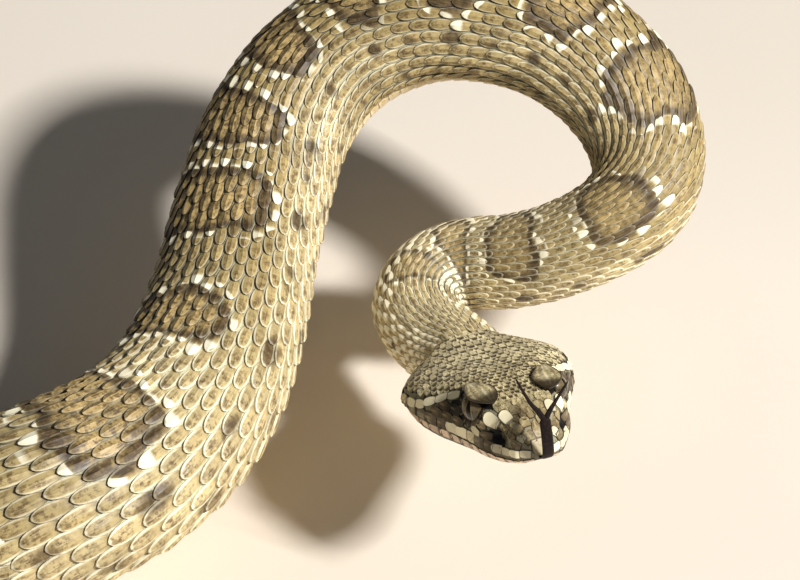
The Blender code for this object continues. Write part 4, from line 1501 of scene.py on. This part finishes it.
def head_finish():
    """The scales and plates of the head, with painted highlights on the keels and painted shade at roots,
    edges and hollows.
    """
    made = Finish("Head scales", Roughness=0.45)
    dark, throat, pale, snout = made.parts("mark", colour=True)
    side, down, random = made.parts("cell")
    away = made.math("ABSOLUTE", side)
    fine, broad = made.noise(0.42, 3.0), made.noise(3.0, 3.0)
    colour = made.mix(made.most(made.ramp(broad, 0.42, 0.66, 0.0, 0.6), snout), CROWN, SNOUT_GREY)
    mottle = made.times(made.ramp(broad, 0.46, 0.60), snout)
    colour = made.mix(made.times(mottle, 0.6), colour, SNOUT_BROWN)
    # the head's dark markings; round the eyes and on the brow plates' edges and undersides they are painted
    # shade
    colour = made.mix(dark, colour, CROWN_DARK)
    # painted shade: black round the eyes, in the pits and under the brows
    colour = made.mix(made.ramp(dark, 1.1, 1.8), colour, HEAD_SHADE_BLACK)
    colour = made.mix(throat, colour, THROAT)
    freckle = made.times(made.ramp(throat, 0.0, 1.0, 0.80, 0.25), made.ramp(snout, 0.0, 1.0, 1.0, 0.5))
    colour = made.mix(made.times(made.ramp(fine, 0.50, 0.62), freckle), colour, FRECKLE)
    # painted highlight along the keel of each scale
    light = made.times(made.ramp(away, 0.34, 0.10), made.ramp(down, 0.35, 0.75))
    colour = made.mix(made.times(light, 0.35), colour, KEEL_HIGHLIGHT)
    cream = made.times(pale, made.ramp(fine, 0.66, 0.80, 1.0, 0.93))
    colour = made.mix(cream, colour, STRIPE_CREAM)
    # painted shade at the roots of the small scales, at the very root of every scale, and along their side
    # edges
    root = made.math("ADD", down, made.times(made.math("SUBTRACT", fine, 0.5), 0.3))
    plain = made.most(made.ramp(snout, 0.0, 0.6), made.ramp(pale, 0.2, 0.6))
    root_shade = made.times(made.ramp(root, 0.42, 0.20), made.ramp(plain, 0.0, 1.0, 0.92, 0.0))
    colour = made.mix(root_shade, colour, SHADE)
    colour = made.mix(made.ramp(down, 0.10, 0.02, 0.0, 0.8), colour, SHADE)
    colour = made.mix(made.ramp(away, 0.84, 0.99, 0.0, 0.85), colour, SHADE)
    made.to("Base Color", made.varied(colour, random, 0.76, 1.18))
    made.to("Roughness", made.ramp(fine, 0.2, 0.8, 0.36, 0.56))
    made.bump(fine, 0.05, 0.5)
    return made.made


def eye_finish():
    """The eye: an upright slit pupil with a thin pale ring, in a speckled bronze iris."""
    made = Finish("Eye", Roughness=0.3, Specular_IOR_Level=0.2, Coat_Roughness=0.04)
    across, upward, ahead = made.parts("look")
    speckle = made.noise(0.22, 3.0)
    colour = made.mix(made.ramp(speckle, 0.40, 0.62), IRIS, IRIS_DARK)
    colour = made.mix(made.ramp(upward, 0.05, 0.45, 0.0, 0.35), colour, IRIS_TOP)
    high = made.times(upward, 1.42)
    room = made.math("SUBTRACT", 1.0, made.times(high, high))
    half = made.times(made.math("SQRT", made.most(room, 0.0)), 0.17)
    beyond = made.math("SUBTRACT", made.math("ABSOLUTE", across), half)
    colour = made.mix(made.ramp(beyond, 0.075, 0.035), colour, PUPIL_RING)
    colour = made.mix(made.ramp(beyond, 0.022, 0.0), colour, PUPIL)
    colour = made.mix(made.ramp(ahead, 0.66, 0.56), colour, EYE_EDGE)
    made.to("Base Color", colour)
    made.to("Coat Weight", made.ramp(ahead, 0.60, 0.85, 0.0, 0.6))
    return made.made


def tongue_finish():
    """The black moist tongue."""
    made = Finish("Tongue", Roughness=0.5, Specular_IOR_Level=0.15)
    fine = made.noise(0.5, 3.0)
    made.to("Base Color", made.mix(made.ramp(fine, 0.35, 0.7), TONGUE_BLACK, TONGUE_BROWN))
    made.bump(fine, 0.06, 0.5)
    return made.made


def horn_finish():
    """The dry horn of the rattle."""
    made = Finish("Rattle horn", Roughness=0.42)
    _, _, random = made.parts("cell")
    broad, fine = made.noise(2.6, 3.0), made.noise(0.4, 2.0)
    colour = made.mix(made.ramp(broad, 0.35, 0.66), HORN, HORN_BROWN)
    colour = made.mix(made.ramp(fine, 0.55, 0.7, 0.0, 0.4), colour, HORN_DARK)
    made.to("Base Color", made.varied(colour, random, 0.85, 1.1))
    made.to("Roughness", made.ramp(fine, 0.3, 0.7, 0.36, 0.5))
    made.bump(broad, 0.10, 0.5)
    return made.made


def floor_finish():
    """A plain pale studio floor."""
    made = Finish("Studio floor", Roughness=0.75)
    broad = made.noise(160.0, 2.0)
    made.to("Base Color", made.mix(made.ramp(broad, 0.3, 0.7), FLOOR_PALE, FLOOR_PALER))
    return made.made


# ---------------------------------------------------------------- floor, lights and camera

FLOOR_HALF = 3.0                      # m
CAMERA_HEIGHT_ANGLE = math.radians(42)
CAMERA_FAR = 1.367                    # m
CAMERA_LENS = 300.0
KEY_FROM = (0.59, -0.41, 0.70)        # towards the main light
FILL_FROM = (-0.30, -0.90, 0.32)


def floor(finish):
    """The ground that the snake lies on."""
    mesh = bpy.data.meshes.new("studio_floor")
    half = FLOOR_HALF
    mesh.from_pydata([(-half, -half, 0), (half, -half, 0), (half, half, 0), (-half, half, 0)], [],
                     [(0, 1, 2, 3)])
    made = bpy.data.objects.new("studio_floor", mesh)
    bpy.context.scene.collection.objects.link(made)
    mesh.materials.append(finish)


def turned_to(target, place):
    """The rotation of a lamp or camera at a place that looks at a target."""
    return (Vector(target) - Vector(place)).to_track_quat("-Z", "Y").to_euler()


def lamp(name, way, far, size, power, colour=(1.0, 1.0, 1.0)):
    """A soft square light, from a direction."""
    light = bpy.data.lights.new(name, "AREA")
    light.shape, light.size, light.energy, light.color = "SQUARE", size, power, colour
    made = bpy.data.objects.new(name, light)
    bpy.context.scene.collection.objects.link(made)
    aim = (CENTRE_SHIFT[0] * MM, CENTRE_SHIFT[1] * MM, 0.03)
    made.location = Vector(aim) + Vector(way).normalized() * far
    made.rotation_euler = turned_to(aim, made.location)


def lights():
    """A soft key from the right, a weak fill from the left, and a pale sky."""
    lamp("key_light", KEY_FROM, 2.0, 0.20, 62.0, (1.0, 0.98, 0.96))
    lamp("fill_light", FILL_FROM, 2.2, 1.2, 2.4, (0.96, 0.97, 1.0))
    world = bpy.data.worlds.new("Studio")
    world.use_nodes = True
    background = world.node_tree.nodes["Background"]
    background.inputs["Color"].default_value = (0.92, 0.96, 1.0, 1.0)
    background.inputs["Strength"].default_value = 0.10
    bpy.context.scene.world = world


def camera():
    """The camera, at the height and side that the snake is seen from."""
    made = bpy.data.objects.new("camera", bpy.data.cameras.new("camera"))
    bpy.context.scene.collection.objects.link(made)
    made.data.lens = CAMERA_LENS
    made.data.clip_end = 20.0
    aim = Vector((CENTRE_SHIFT[0] * MM, CENTRE_SHIFT[1] * MM, 0.0))
    way = Vector((0.0, -math.cos(CAMERA_HEIGHT_ANGLE), math.sin(CAMERA_HEIGHT_ANGLE)))
    made.location = aim + way * CAMERA_FAR
    made.rotation_euler = turned_to(aim, made.location)
    bpy.context.scene.camera = made


# ---------------------------------------------------------------- everything

def build():
    """The stage and every piece of the snake."""
    camera()
    lights()
    floor(floor_finish())
    bpy.context.scene.view_settings.view_transform = "Standard"
    rows, backs = skin(skin_finish())
    body_scales(scale_finish())
    belly_plates(belly_finish())
    head_scales(head_finish(), HeadSkin(rows, backs))
    eyes(eye_finish())
    tongue(tongue_finish())
    rattle(horn_finish())


build()
